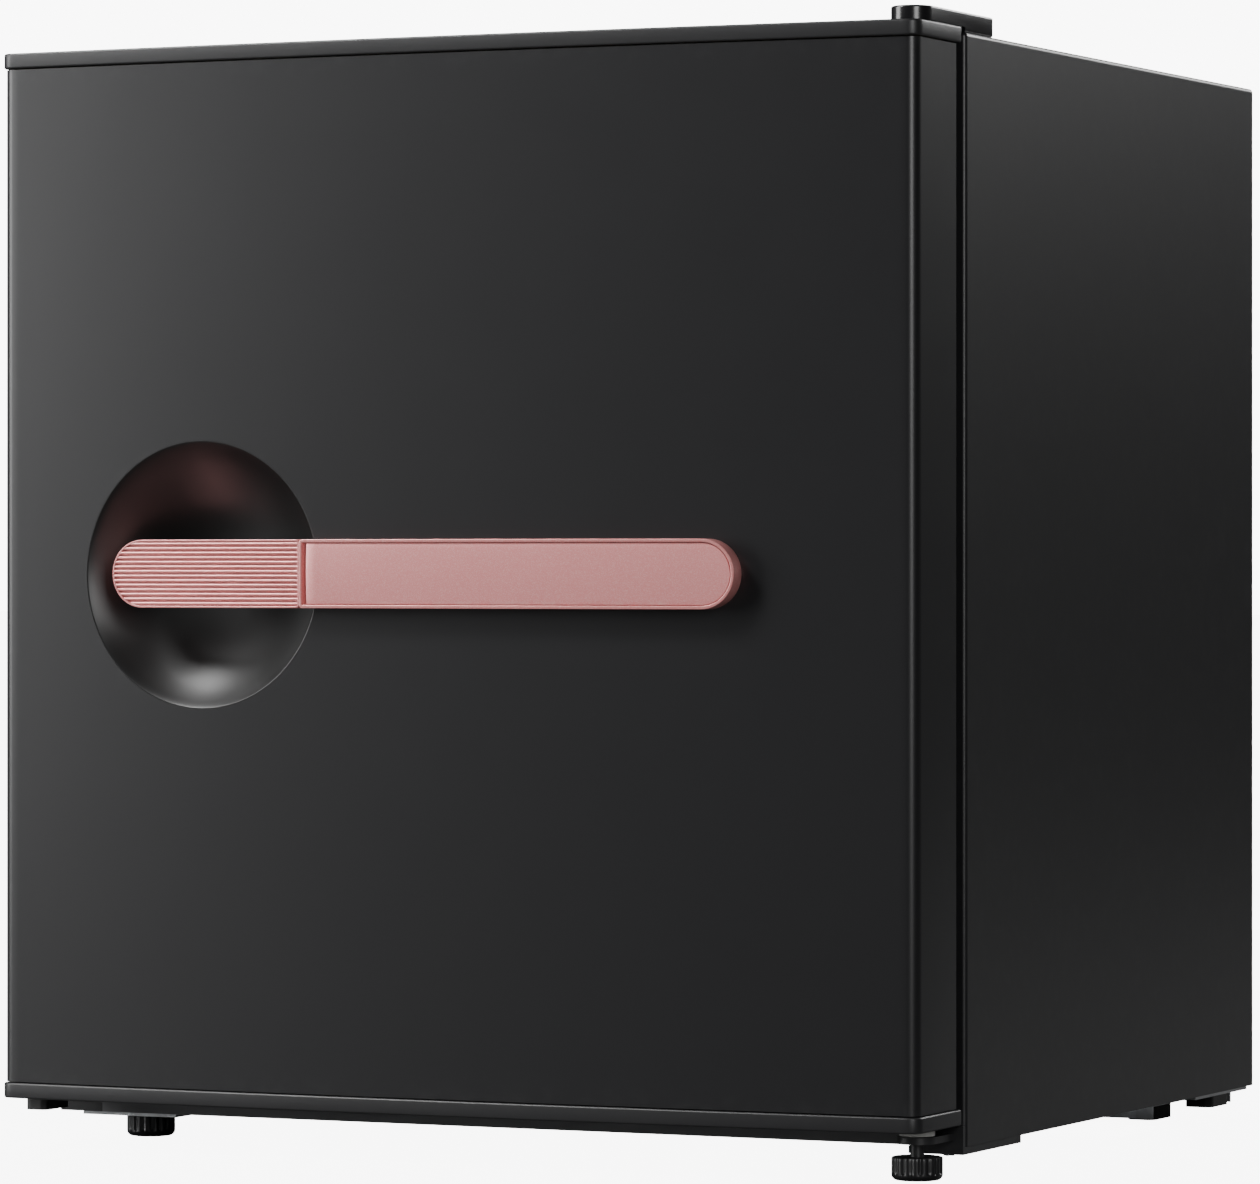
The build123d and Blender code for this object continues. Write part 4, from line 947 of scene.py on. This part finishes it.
def make_door_panel():
    """Bowed steel skin with return flanges and a round hole for the finger recess."""
    hole = (RECESS_LOW + RECESS_HIGH) / 2
    radius, count = (RECESS_HIGH.x - RECESS_LOW.x) / 2, 24
    reach = radius + RECESS_MARGIN
    xs, zs = door_skin_rows(hole, reach, count)
    half = PANEL_HIGH.x
    path = door_path(half, 0.0, PANEL_HIGH.y, sizes().corner, xs)
    flange = half - DOOR_FLANGE
    path = [(-flange, PANEL_HIGH.y)] + path + [(flange, PANEL_HIGH.y)]
    bm = bmesh.new()
    rows = [[bm.verts.new((x, y, z)) for x, y in path] for z in zs]
    first = min(range(len(path)), key=lambda i: math.dist(path[i], (hole.x - reach, path[i][1])))
    bottom = min(range(len(zs)), key=lambda i: abs(zs[i] - hole.z + reach))
    window_rows, window_columns = range(bottom, bottom + count), range(first, first + count)
    for r in range(len(zs) - 1):
        for c in range(len(path) - 1):
            if r not in window_rows or c not in window_columns:
                bm.faces.new((rows[r][c], rows[r][c + 1], rows[r + 1][c + 1], rows[r + 1][c]))
    last, top = first + count, bottom + count
    square = [rows[bottom][c] for c in range(first, last)] + [rows[r][last] for r in range(bottom, top)]
    square += [rows[top][c] for c in range(last, first, -1)]
    square += [rows[r][first] for r in range(top, bottom, -1)]
    rings = [square]
    for share in (0.66, 0.33, 0.0):
        ring = []
        for corner in square:
            angle = math.atan2(corner.co.z - hole.z, corner.co.x - hole.x)
            x = hole.x + radius * math.cos(angle)
            z = hole.z + radius * math.sin(angle)
            x, z = x + (corner.co.x - x) * share, z + (corner.co.z - z) * share
            ring.append(bm.verts.new((x, skin_y(x), z)))
        rings.append(ring)
    grid_faces(bm, rings, closed_columns=True)
    bmesh.ops.recalc_face_normals(bm, faces=bm.faces)
    bm.faces.ensure_lookup_table()
    front = min(bm.faces, key=lambda f: f.calc_center_median().y)
    if front.normal.y > 0:
        bmesh.ops.reverse_faces(bm, faces=bm.faces)
    panel = new_object("door_skin", to_mesh(bm, "door_skin", recalculate=False))
    modifier(panel, "SOLIDIFY", thickness=sizes().sheet, offset=-1.0)
    return finished(panel, "door", "door_paint", "door_panel")


def make_door_cap(name, node, top):
    """Moulded end cap with softened edges and a hole for the hinge bush."""
    low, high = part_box(node)
    gap = sizes().cap_gap
    z0, z1 = (low.z + gap, high.z) if top else (low.z, high.z - gap)
    outline = door_path(HALF, sizes().sheet, high.y, CAP_CORNER, spread(-HALF, HALF, 60))
    cap = prism(name, outline, z0, z1)
    rounded(cap, 0.9 * MM, 4, 50)
    bush = prism("bush_bore", disc(PIN.x, PIN.y, BUSH_RADIUS, 48), z0 - 10 * MM, z1 + 10 * MM)
    cut(cap, bush)
    return finished(cap, "door", "cap_plastic", node)


def recess_profile(radius):
    """Wall of the finger recess as (radius, depth), rim first."""
    s = sizes()
    inner, depth = radius - s.recess_wall, s.recess_depth
    sphere = (inner ** 2 + depth ** 2) / (2 * depth)
    lean = math.asin(inner / sphere)
    bowl = []
    for angle in spread(lean, 0.0, 36):
        bowl.append((sphere * math.sin(angle), depth - sphere * (1 - math.cos(angle))))
    lip, skim = 0.15 * MM, 0.05 * MM
    rim = [(radius - skim, lip), (radius - lip, skim), (inner + lip, skim)]
    inside = [(r, max(d, lip)) for r, d in bowl]
    outside = [(r * radius / inner, d + s.recess_wall) for r, d in reversed(bowl)]
    return rim + inside + outside


def make_finger_recess():
    """Smooth moulded bowl with a crisp rim, flush with the bowed skin."""
    centre = (RECESS_LOW + RECESS_HIGH) / 2
    radius = (RECESS_HIGH.x - RECESS_LOW.x) / 2

    def place(angle, r, depth):
        x = centre.x + r * math.cos(angle)
        return (x, skin_y(x) + depth, centre.z + r * math.sin(angle))

    bowl = lathe("finger_bowl", recess_profile(radius), 144, place)
    return finished(bowl, "door", "recess_plastic", "finger_recess", angle=40)


# Handle -----------------------------------------------------------------------------------

def bar_proud():
    """How far the handle's front stands out from the door's skin."""
    return skin_y(0.0) - BAR_LOW.y


def plate_border(face):
    """Vertices round a plate's face, in order."""
    border = face[0] + [column[-1] for column in face[1:]]
    return border + face[-1][-2::-1] + [column[0] for column in face[-2:0:-1]]


def bowed_plate(name, columns, near, far, rows=6, crown=0.0):
    """Plate that follows the door's bow, from (x, low z, high z) columns, its front crowned."""
    low, high = min(column[1] for column in columns), max(column[2] for column in columns)
    bm = bmesh.new()
    faces = []
    for ahead, swell in ((near, 0.0), (far, crown)):
        face = []
        for x, z0, z1 in columns:
            heights = [(z, (2 * z - low - high) / (high - low)) for z in spread(z0, z1, rows)]
            face.append([bm.verts.new((x, skin_y(x, ahead + swell * (1 - off ** 2)), z))
                         for z, off in heights])
        grid_faces(bm, face)
        faces.append(face)
    grid_faces(bm, [plate_border(face) for face in faces], closed_columns=True)
    return new_object(name, to_mesh(bm, name))


def round_end(x, z, half, side):
    """Columns of a plate's round end, from its tip inwards; side is -1 for the left."""
    columns = []
    for turn in spread(0.0, 90.0, 14)[:-1]:
        reach = math.radians(turn)
        rise = half * math.sin(reach)
        columns.append((x + side * half * math.cos(reach), z - rise, z + rise))
    return columns


def stadium_columns(x0, x1, z, half, round_left, round_right):
    """Columns of a long plate whose ends may be round."""
    left, right = x0 + (half if round_left else 0.0), x1 - (half if round_right else 0.0)
    columns = round_end(left, z, half, -1) if round_left else []
    columns += [(x, z - half, z + half) for x in spread(left, right, 40)]
    if round_right:
        columns += reversed(round_end(right, z, half, 1))
    return columns


def raised_rim(name, low, high, radii, half, base, proud):
    """Flat-topped rim on the bowed bar, its middle on a rounded loop."""
    loop = subdivide_loop(rounded_loop(low, high, radii, 14), 6 * MM)
    top = proud - RIM_SHOULDER
    profile = [(-half, base - MM), (half, base - MM), (half, top)]
    profile += arc((0.0, top), half, 0, 180, 8)[1:-1]
    profile += [(-half, top)]
    flat = [(out, min(along, proud)) for out, along in profile]
    return loop_sweep(name, loop, flat, lambda x, z, ahead: (x, skin_y(x, ahead), z))


def make_handle_bar():
    """Bar with a raised rim round its inlay."""
    s = sizes()
    proud = bar_proud()
    tall, middle = (BAR_HIGH.z - BAR_LOW.z) / 2, (BAR_HIGH.z + BAR_LOW.z) / 2
    columns = stadium_columns(BAR_LOW.x, BAR_HIGH.x, middle, tall, True, True)
    bar = bowed_plate("bar_base", columns, 0.0, s.handle_base)
    rounded(bar, 0.5 * MM, 3)
    half = s.handle_rim / 2
    low = (GRIP_HIGH.x + half, middle - tall + half)
    high = (BAR_HIGH.x - half, middle + tall - half)
    end = tall - half - HAIR
    rim = raised_rim("bar_rim", low, high, (MM, end, end, MM), half, s.handle_base, proud)
    return finished(join_meshes("bar", [bar, rim]), "door", "rose_metallic", "handle_bar")


def make_handle_grip():
    """Ribbed grip over the finger recess, its ribs inside a smooth rim."""
    s = sizes()
    tall, middle = (GRIP_HIGH.z - GRIP_LOW.z) / 2, (GRIP_HIGH.z + GRIP_LOW.z) / 2
    proud = bar_proud()
    floor = proud - RIB_FLOOR
    columns = stadium_columns(GRIP_LOW.x, GRIP_HIGH.x, middle, tall, True, False)
    base = bowed_plate("grip_base", columns, s.handle_base - 0.5 * MM, floor)
    half = s.grip_rim / 2
    low = (GRIP_LOW.x + half, middle - tall + half)
    high = (GRIP_HIGH.x - half, middle + tall - half)
    end = tall - half - HAIR
    rim = raised_rim("grip_rim", low, high, (end, MM, MM, end), half, floor, proud)
    inner = tall - s.grip_rim
    pitch = 2 * inner / s.grip_ribs
    rib = 0.37 * pitch
    surface = bow_radius() - s.sheet + proud - rib
    values = {
        "Count": s.grip_ribs,
        "First": (0.0, DOOR_LOW.y + bow_radius() - surface, middle - inner + pitch / 2),
        "Step": (0.0, 0.0, pitch), "End Radius": inner, "Left": GRIP_LOW.x + s.grip_rim,
        "Right": GRIP_HIGH.x - s.grip_rim, "Middle Height": middle, "Rib Radius": rib,
        "Bow Radius": surface,
    }
    ribs = repeated("grip_ribs", "Grip ribs", values, "rose_metallic")
    grip = join_meshes("ribbed_grip", [base, rim, ribs])
    return finished(grip, "door", "rose_metallic", "handle_grip", angle=50)


def make_handle_inlay():
    """Smooth, slightly crowned plate set below the rim, with a fine groove round it."""
    s = sizes()
    proud = bar_proud()
    tall = (INLAY_HIGH.z - INLAY_LOW.z) / 2 - INLAY_GROOVE
    middle = (INLAY_HIGH.z + INLAY_LOW.z) / 2
    left, right = INLAY_LOW.x + INLAY_GROOVE, INLAY_HIGH.x - INLAY_GROOVE
    columns = stadium_columns(left, right, middle, tall, False, True)
    plate = bowed_plate("inlay", columns, s.handle_base, proud - INLAY_DROP, 12, INLAY_CROWN)
    rounded(plate, 0.35 * MM, 3)
    return finished(plate, "door", "rose_inlay", "handle_inlay")


# Seal, hinge and feet ---------------------------------------------------------------------

def make_gasket():
    """Bellows seal with its magnet strip against the cabinet."""
    low = (GASKET_LOW.x + SEAL_HALF, GASKET_LOW.z + SEAL_HALF)
    high = (GASKET_HIGH.x - SEAL_HALF, GASKET_HIGH.z - SEAL_HALF)
    loop = rounded_loop(low, high, (4 * MM,) * 4, 8)
    y0, y1 = GASKET_LOW.y, GASKET_HIGH.y
    deep = y1 - y0
    shape = [
        (-5.5, 0.0), (5.5, 0.0), (5.5, 0.14), (3.4, 0.2), (3.2, 0.27), (6.6, 0.36), (6.8, 0.44),
        (4.2, 0.52), (4.2, 0.6), (6.8, 0.68), (7.0, 0.8), (6.6, 0.96), (6.0, 1.0), (-6.0, 1.0),
        (-6.6, 0.96), (-7.0, 0.8), (-6.8, 0.68), (-4.2, 0.6), (-4.2, 0.52), (-6.8, 0.44),
        (-6.6, 0.36), (-3.2, 0.27), (-3.4, 0.2), (-5.5, 0.14),
    ]
    profile = [(out * MM, share * deep) for out, share in shape]
    seal = loop_sweep("door_seal", loop, profile, lambda x, z, along: (x, y0 + along, z))
    return finished(seal, "door", "gasket_vinyl", "door_gasket", angle=60)


def cover_outline(shrink, nose):
    """Plan of the hinge cover: round at the front, less so behind."""
    x0, x1 = COVER_LOW.x + shrink, COVER_HIGH.x - shrink
    y0, y1 = COVER_LOW.y + shrink, COVER_HIGH.y - shrink
    half = (x1 - x0) / 2
    radius = min(nose, half)
    outline = arc((x0 + radius, y0 + radius), radius, 180, 270, 16)
    outline += arc((x1 - radius, y0 + radius), radius, 270, 360, 16)
    outline += arc((x1 - COVER_REAR, y1 - COVER_REAR), COVER_REAR, 0, 90, 10)
    outline += arc((x0 + COVER_REAR, y1 - COVER_REAR), COVER_REAR, 90, 180, 10)
    return outline


def make_hinge_cover():
    """Gloss cover over the top hinge, stepped up over the door."""
    top = COVER_HIGH.z
    cover = prism("hinge_hood", cover_outline(0.0, COVER_NOSE), COVER_LOW.z, top)
    rounded(cover, 0.9 * MM, 5, 50)
    over_door = block("over_door", (COVER_LOW.x - MM, COVER_LOW.y - MM, COVER_LOW.z - MM),
                      (COVER_HIGH.x + MM, SHELL_LOW.y + 1.6 * MM, DOOR_HIGH.z + 0.4 * MM))
    pocket = cover_outline(COVER_WALL, 5 * MM)
    inside = prism("cover_pocket", pocket, COVER_LOW.z - MM, top - 1.5 * MM)
    cut(cover, over_door, inside)
    return finished(cover, "cabinet", "cover_gloss", "hinge_cover", angle=25)


def screw_places(node, count):
    """Centres and radius of a node's equal screws, in a row from front to back."""
    low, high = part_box(node)
    x, radius = (low.x + high.x) / 2, (high.x - low.x) / 2
    return [(x, y) for y in spread(low.y + radius, high.y - radius, count - 1)], radius


def make_hinge_screws():
    """Cross-head screws of the upper and lower hinge."""
    for name, node, count, up in (("upper_hinge_screws", "top_hinge_screws", 2, True),
                                  ("under_hinge_screws", "lower_hinge_screws", 3, False)):
        low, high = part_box(node)
        places, radius = screw_places(node, count)
        seat = high.z - SCREW_HEAD if up else low.z + SCREW_HEAD
        values = {
            "Turn": (0.0, 0.0, 0.0) if up else (math.pi, 0.0, 0.0), "Head Radius": radius,
            "Head Height": SCREW_HEAD, "Shank Radius": radius * 0.5,
            "Shank Length": high.z - low.z - SCREW_HEAD,
        }
        points = [(x, y, seat) for x, y in places]
        screws = repeated(name, "Cross-head screws", values, "zinc_steel", points)
        finished(screws, "cabinet", "zinc_steel", node)


def make_foot(side):
    """Fluted levelling foot."""
    node = side + "_foot_knob"
    low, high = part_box(node)
    centre, radius, tall = (low + high) / 2, (high.x - low.x) / 2, high.z - low.z
    flutes, heel = sizes().foot_flutes, 2.6 * MM
    profile = [(FOOT_STEM, 6 * MM), (0.0, 6 * MM), (0.0, 0.0), (radius - heel, 0.0)]
    profile += arc((radius - heel, heel), heel, -70, 0, 6)
    profile += [(radius, h) for h in spread(3.2 * MM, tall - 0.8 * MM, 6)]
    profile += [(radius - 0.2 * MM, tall - 0.25 * MM), (radius - 0.8 * MM, tall)]
    profile += [(FOOT_STEM, tall)]

    def place(angle, r, h):
        depth = 0.0
        if r > radius - 1.2 * MM and h > 2.8 * MM:
            depth = 0.65 * MM * (0.5 + 0.5 * math.cos(flutes * angle)) ** 2
        r = r - depth
        return (centre.x + r * math.cos(angle), centre.y + r * math.sin(angle), h)

    knob = lathe(side + "_foot", profile, flutes * 10, place)
    return finished(knob, side + "_knob", "foot_plastic", node, angle=40)


# Shelf and cooling circuit ----------------------------------------------------------------

def make_shelf():
    """Wire shelf: a round rim with two cross wires and front to back wires."""
    s = sizes()
    rim, wire = 1.8 * MM, s.shelf_wire
    low, high = (SHELF_LOW.x + rim, SHELF_LOW.y + rim), (SHELF_HIGH.x - rim, SHELF_HIGH.y - rim)
    level = SHELF_LOW.z + rim
    loop = rounded_loop(low, high, (9 * MM,) * 4, 10)
    pieces = [loop_sweep("shelf_rim", loop, round_profile(rim, 12),
                         lambda x, y, along: (x, y, level + along))]
    cross = {
        "Count": 2, "First": (0.0, SHELF_LOW.y + 45 * MM, level - 0.4 * MM),
        "Step": (0.0, high[1] - low[1] - 86 * MM, 0.0), "Turn": (0.0, math.pi / 2, 0.0),
        "Length": high[0] - low[0], "Radius": 1.4 * MM,
    }
    pieces.append(repeated("cross_wires", "Row of rods", cross, "shelf_wire"))
    reach = high[0] - low[0] - 28 * MM
    along = {
        "Count": s.shelf_wires, "First": (-reach / 2, (low[1] + high[1]) / 2, SHELF_HIGH.z - wire),
        "Step": (reach / (s.shelf_wires - 1), 0.0, 0.0), "Turn": (math.pi / 2, 0.0, 0.0),
        "Length": high[1] - low[1], "Radius": wire,
    }
    pieces.append(repeated("shelf_wires", "Row of rods", along, "shelf_wire"))
    return finished(join_meshes("food_shelf", pieces), "shelf", "shelf_wire", "wire_shelf", angle=60)


def coil_path():
    """Serpentine of the condenser as (x, z, normal x, normal z)."""
    s = sizes()
    tube = s.coil_tube
    z0, z1 = COIL_LOW.z + tube, COIL_HIGH.z - tube
    pitch = (z1 - z0) / (s.coil_runs - 1)
    half = COIL_HIGH.x - tube - pitch / 2
    path = []
    for run in range(s.coil_runs):
        side = 1 if run % 2 == 0 else -1
        z = z0 + run * pitch
        path += [(-side * half, z, 0, side), (side * half, z, 0, side)]
        if run < s.coil_runs - 1:
            for turn in spread(-90, 90, 14)[1:-1]:
                nx, nz = side * math.cos(math.radians(turn)), math.sin(math.radians(turn))
                path.append((side * half + nx * pitch / 2, z + pitch / 2 + nz * pitch / 2,
                             -nx * side, -nz * side))
    return path


def make_condenser():
    """Serpentine tube and its upright wires."""
    s = sizes()
    y = (COIL_LOW.y + COIL_HIGH.y) / 2
    bm = bmesh.new()
    rows = []
    for x, z, nx, nz in coil_path():
        rows.append([bm.verts.new((x + nx * out, y + along, z + nz * out))
                     for out, along in round_profile(s.coil_tube, 12)])
    grid_faces(bm, rows, closed_columns=True)
    bm.faces.new(rows[0])
    bm.faces.new(rows[-1])
    coil = new_object("coil_tube", to_mesh(bm, "coil_tube"))
    finished(coil, "cabinet", "coil_paint", "condenser_coil", angle=60)
    wire = s.coil_wire
    pieces = []
    for name, depth in (("front_wires", WIRES_LOW.y + wire), ("rear_wires", WIRES_HIGH.y - wire)):
        reach = WIRES_HIGH.x - WIRES_LOW.x - 2 * wire
        values = {
            "Count": s.coil_wires,
            "First": (-reach / 2, depth, (WIRES_LOW.z + WIRES_HIGH.z) / 2),
            "Step": (reach / (s.coil_wires - 1), 0.0, 0.0), "Turn": (0.0, 0.0, 0.0),
            "Length": WIRES_HIGH.z - WIRES_LOW.z, "Radius": wire,
        }
        pieces.append(repeated(name, "Row of rods", values, "coil_paint"))
    wires = join_meshes("coil_wires", pieces)
    return finished(wires, "cabinet", "coil_paint", "condenser_wires", angle=60)


def make_compressor():
    """Smooth compressor can with its weld seam on a rounded mounting plate."""
    low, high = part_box("compressor")
    centre = (low + high) / 2
    seam = (high.y - low.y) / 2
    radius = seam - 2 * MM
    base, top = 20 * MM, high.z
    level = base + 52 * MM
    profile = [(0.0, base)] + arc((radius - 10 * MM, base + 10 * MM), 10 * MM, -90, 0, 8)
    profile += [(radius, level), (seam - 0.6 * MM, level), (seam, level + 0.6 * MM)]
    profile += [(seam, level + 3.4 * MM), (seam - 0.6 * MM, level + 4 * MM), (radius, level + 4 * MM)]
    profile += arc((radius - 30 * MM, top - 30 * MM), 30 * MM, 0, 90, 14) + [(0.0, top)]
    can = lathe("can", profile, 96, upright(centre.x, centre.y))
    loop = rounded_loop((low.x, centre.y - 38 * MM), (high.x, centre.y + 38 * MM), (10 * MM,) * 4, 8)
    plate = prism("foot", [(x, y) for x, y, _, _ in loop], 18 * MM, 20.5 * MM)
    rounded(plate, 0.5 * MM, 2, 50)
    bolts_low, bolts_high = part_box("compressor_grommets")
    for x in (bolts_low.x + 10 * MM, bolts_high.x - 10 * MM):
        for y in (bolts_low.y + 10 * MM, bolts_high.y - 10 * MM):
            cut(plate, prism("grommet_hole", disc(x, y, 6 * MM), 10 * MM, 30 * MM))
    unit = join_meshes("compressor_unit", [can, plate])
    return finished(unit, "cabinet", "compressor_paint", "compressor", angle=35)


# Operators --------------------------------------------------------------------------------

class BuildDoorShell(bpy.types.Operator):
    """Build the door's bowed skin and both end caps."""

    bl_idname = "fridge.door_shell"
    bl_label = "Door skin and caps"

    def execute(self, context):
        make_door_panel()
        make_door_cap("upper_cap", "door_top_cap", True)
        make_door_cap("lower_cap", "door_bottom_cap", False)
        return {"FINISHED"}


class BuildFingerRecess(bpy.types.Operator):
    """Build the round finger recess behind the grip."""

    bl_idname = "fridge.finger_recess"
    bl_label = "Finger recess"

    def execute(self, context):
        make_finger_recess()
        return {"FINISHED"}


class BuildHandle(bpy.types.Operator):
    """Build the bar, its ribbed grip and its smooth inlay."""

    bl_idname = "fridge.handle"
    bl_label = "Handle"

    def execute(self, context):
        make_handle_bar()
        make_handle_grip()
        make_handle_inlay()
        return {"FINISHED"}


class BuildGasket(bpy.types.Operator):
    """Build the door's bellows seal."""

    bl_idname = "fridge.gasket"
    bl_label = "Door seal"

    def execute(self, context):
        make_gasket()
        return {"FINISHED"}


class BuildHinges(bpy.types.Operator):
    """Build the gloss hinge cover and the hinge screws."""

    bl_idname = "fridge.hinges"
    bl_label = "Hinge cover and screws"

    def execute(self, context):
        make_hinge_cover()
        make_hinge_screws()
        return {"FINISHED"}


class BuildFeet(bpy.types.Operator):
    """Build the two fluted levelling feet."""

    bl_idname = "fridge.feet"
    bl_label = "Levelling feet"

    def execute(self, context):
        for side in ("left", "right"):
            make_foot(side)
        return {"FINISHED"}


class BuildShelf(bpy.types.Operator):
    """Build the wire shelf."""

    bl_idname = "fridge.shelf"
    bl_label = "Wire shelf"

    def execute(self, context):
        make_shelf()
        return {"FINISHED"}


class BuildCooling(bpy.types.Operator):
    """Build the rear condenser and the compressor."""

    bl_idname = "fridge.cooling"
    bl_label = "Condenser and compressor"

    def execute(self, context):
        make_condenser()
        make_compressor()
        return {"FINISHED"}


class FinishFrameParts(bpy.types.Operator):
    """Give every part kept from the frame its finish."""

    bl_idname = "fridge.frame_finishes"
    bl_label = "Finishes of the frame's parts"

    def execute(self, context):
        for part in frame["record"]["subparts"]:
            obj = frame["nodes"][part["node"]]
            material = finish(part["material_slot"])
            obj.data.materials.clear()
            obj.data.materials.append(material)
        return {"FINISHED"}


CAMERA_TURN = 25.038
CAMERA_PLACE = (1.25482, -2.70248, 0.25947)
LENS = 183.3
SHIFT = (-0.01227, -0.01984)
LIGHT_TARGET = Vector((0.0, 0.0, 0.25))


def make_camera():
    """Camera in front of the door's right corner, level, with a long lens."""
    data = bpy.data.cameras.new("camera")
    data.lens = LENS
    data.sensor_width = 36.0
    data.shift_x, data.shift_y = SHIFT
    camera = new_object("camera", data)
    camera.location = CAMERA_PLACE
    camera.rotation_euler = (math.pi / 2, 0.0, math.radians(CAMERA_TURN))
    bpy.context.scene.camera = camera


def area_light(name, place, size, energy):
    """Softbox aimed at the object's middle, hidden from the camera."""
    data = bpy.data.lights.new(name, "AREA")
    data.shape = "RECTANGLE"
    data.size, data.size_y = size
    data.energy = energy
    light = new_object(name, data)
    light.location = place
    aim = LIGHT_TARGET - Vector(place)
    light.rotation_euler = aim.to_track_quat("-Z", "Y").to_euler()
    light.visible_camera = False


def make_surround():
    """White surround: dimmer on the object than behind it."""
    studio = bpy.context.scene.fridge_studio
    world = bpy.data.worlds.new("studio")
    world.use_nodes = True
    bpy.context.scene.world = world
    tree = world.node_tree
    background = tree.nodes["Background"]
    seen = add_node(tree, "ShaderNodeLightPath").outputs["Is Camera Ray"]
    extra = calc(tree, "MULTIPLY", seen, studio.backdrop - studio.surround)
    tree.links.new(calc(tree, "ADD", extra, studio.surround), background.inputs["Strength"])
    background.inputs["Color"].default_value = (1.0, 1.0, 1.0, 1.0)


def make_floor():
    """Large plain pale floor."""
    studio = bpy.context.scene.fridge_studio
    bm = bmesh.new()
    bmesh.ops.create_grid(bm, x_segments=2, y_segments=2, size=30.0)
    floor = new_object("floor", to_mesh(bm, "floor", recalculate=False))
    material, tree, shader, place = new_material("Studio floor", specular=0.2)
    finish_surface(tree, shader, place, opaque(studio.floor), 0.6, 0.02, 0.0, 0.01)
    seen = add_node(tree, "ShaderNodeLightPath").outputs["Is Camera Ray"]
    tree.links.new(calc(tree, "MULTIPLY", seen, studio.floor_lift), shader.inputs["Emission Strength"])
    shader.inputs["Emission Color"].default_value = (1.0, 1.0, 1.0, 1.0)
    floor.data.materials.append(material)


STUDIO_LIGHTS = (
    ("overhead", (-1.08, -1.14, 1.69), (0.5, 0.5)),
    ("left", (-2.3, -1.6, 0.9), (1.2, 1.6)),
    ("side", (1.2, 2.3, 1.4), (1.6, 0.7)),
    ("front", (1.7, -1.9, 0.9), (0.8, 1.2)),
    ("rear", (-1.1, 2.5, 1.1), (1.2, 1.2)),
)


class BuildStage(bpy.types.Operator):
    """Build the floor, surround, lights and camera."""

    bl_idname = "fridge.stage"
    bl_label = "Studio"

    def execute(self, context):
        studio = context.scene.fridge_studio
        make_floor()
        make_surround()
        for name, place, size in STUDIO_LIGHTS:
            area_light(name, place, size, getattr(studio, name + "_power"))
        make_camera()
        return {"FINISHED"}


STEPS = (
    FinishFrameParts, BuildDoorShell, BuildFingerRecess, BuildHandle, BuildGasket, BuildHinges,
    BuildFeet, BuildShelf, BuildCooling, BuildStage,
)


class FridgePanel(bpy.types.Panel):
    """Lists the refrigerator's settings and steps in the sidebar."""

    bl_idname = "VIEW3D_PT_fridge"
    bl_label = "Refrigerator"
    bl_space_type = "VIEW_3D"
    bl_region_type = "UI"
    bl_category = "Refrigerator"

    def draw(self, context):
        column = self.layout.column(align=True)
        for group in (context.scene.fridge_sizes, context.scene.fridge_colours,
                      context.scene.fridge_studio):
            for name in group.bl_rna.properties.keys():
                if name not in ("rna_type", "name"):
                    column.prop(group, name)
            column.separator()
        for step in STEPS:
            column.operator(step.bl_idname)


CLASSES = (FridgeSizes, FridgeColours, FridgeStudio, *STEPS, FridgePanel)


def register():
    """Registers the classes and their settings."""
    for cls in CLASSES:
        bpy.utils.register_class(cls)
    bpy.types.Scene.fridge_sizes = PointerProperty(type=FridgeSizes)
    bpy.types.Scene.fridge_colours = PointerProperty(type=FridgeColours)
    bpy.types.Scene.fridge_studio = PointerProperty(type=FridgeStudio)


def unregister():
    """Removes the settings and the classes."""
    del bpy.types.Scene.fridge_studio
    del bpy.types.Scene.fridge_colours
    del bpy.types.Scene.fridge_sizes
    for cls in reversed(CLASSES):
        bpy.utils.unregister_class(cls)


def main():
    """Builds everything in order."""
    register()
    for step in STEPS:
        category, name = step.bl_idname.split(".")
        getattr(getattr(bpy.ops, category), name)()


if __name__ == "__main__":
    main()
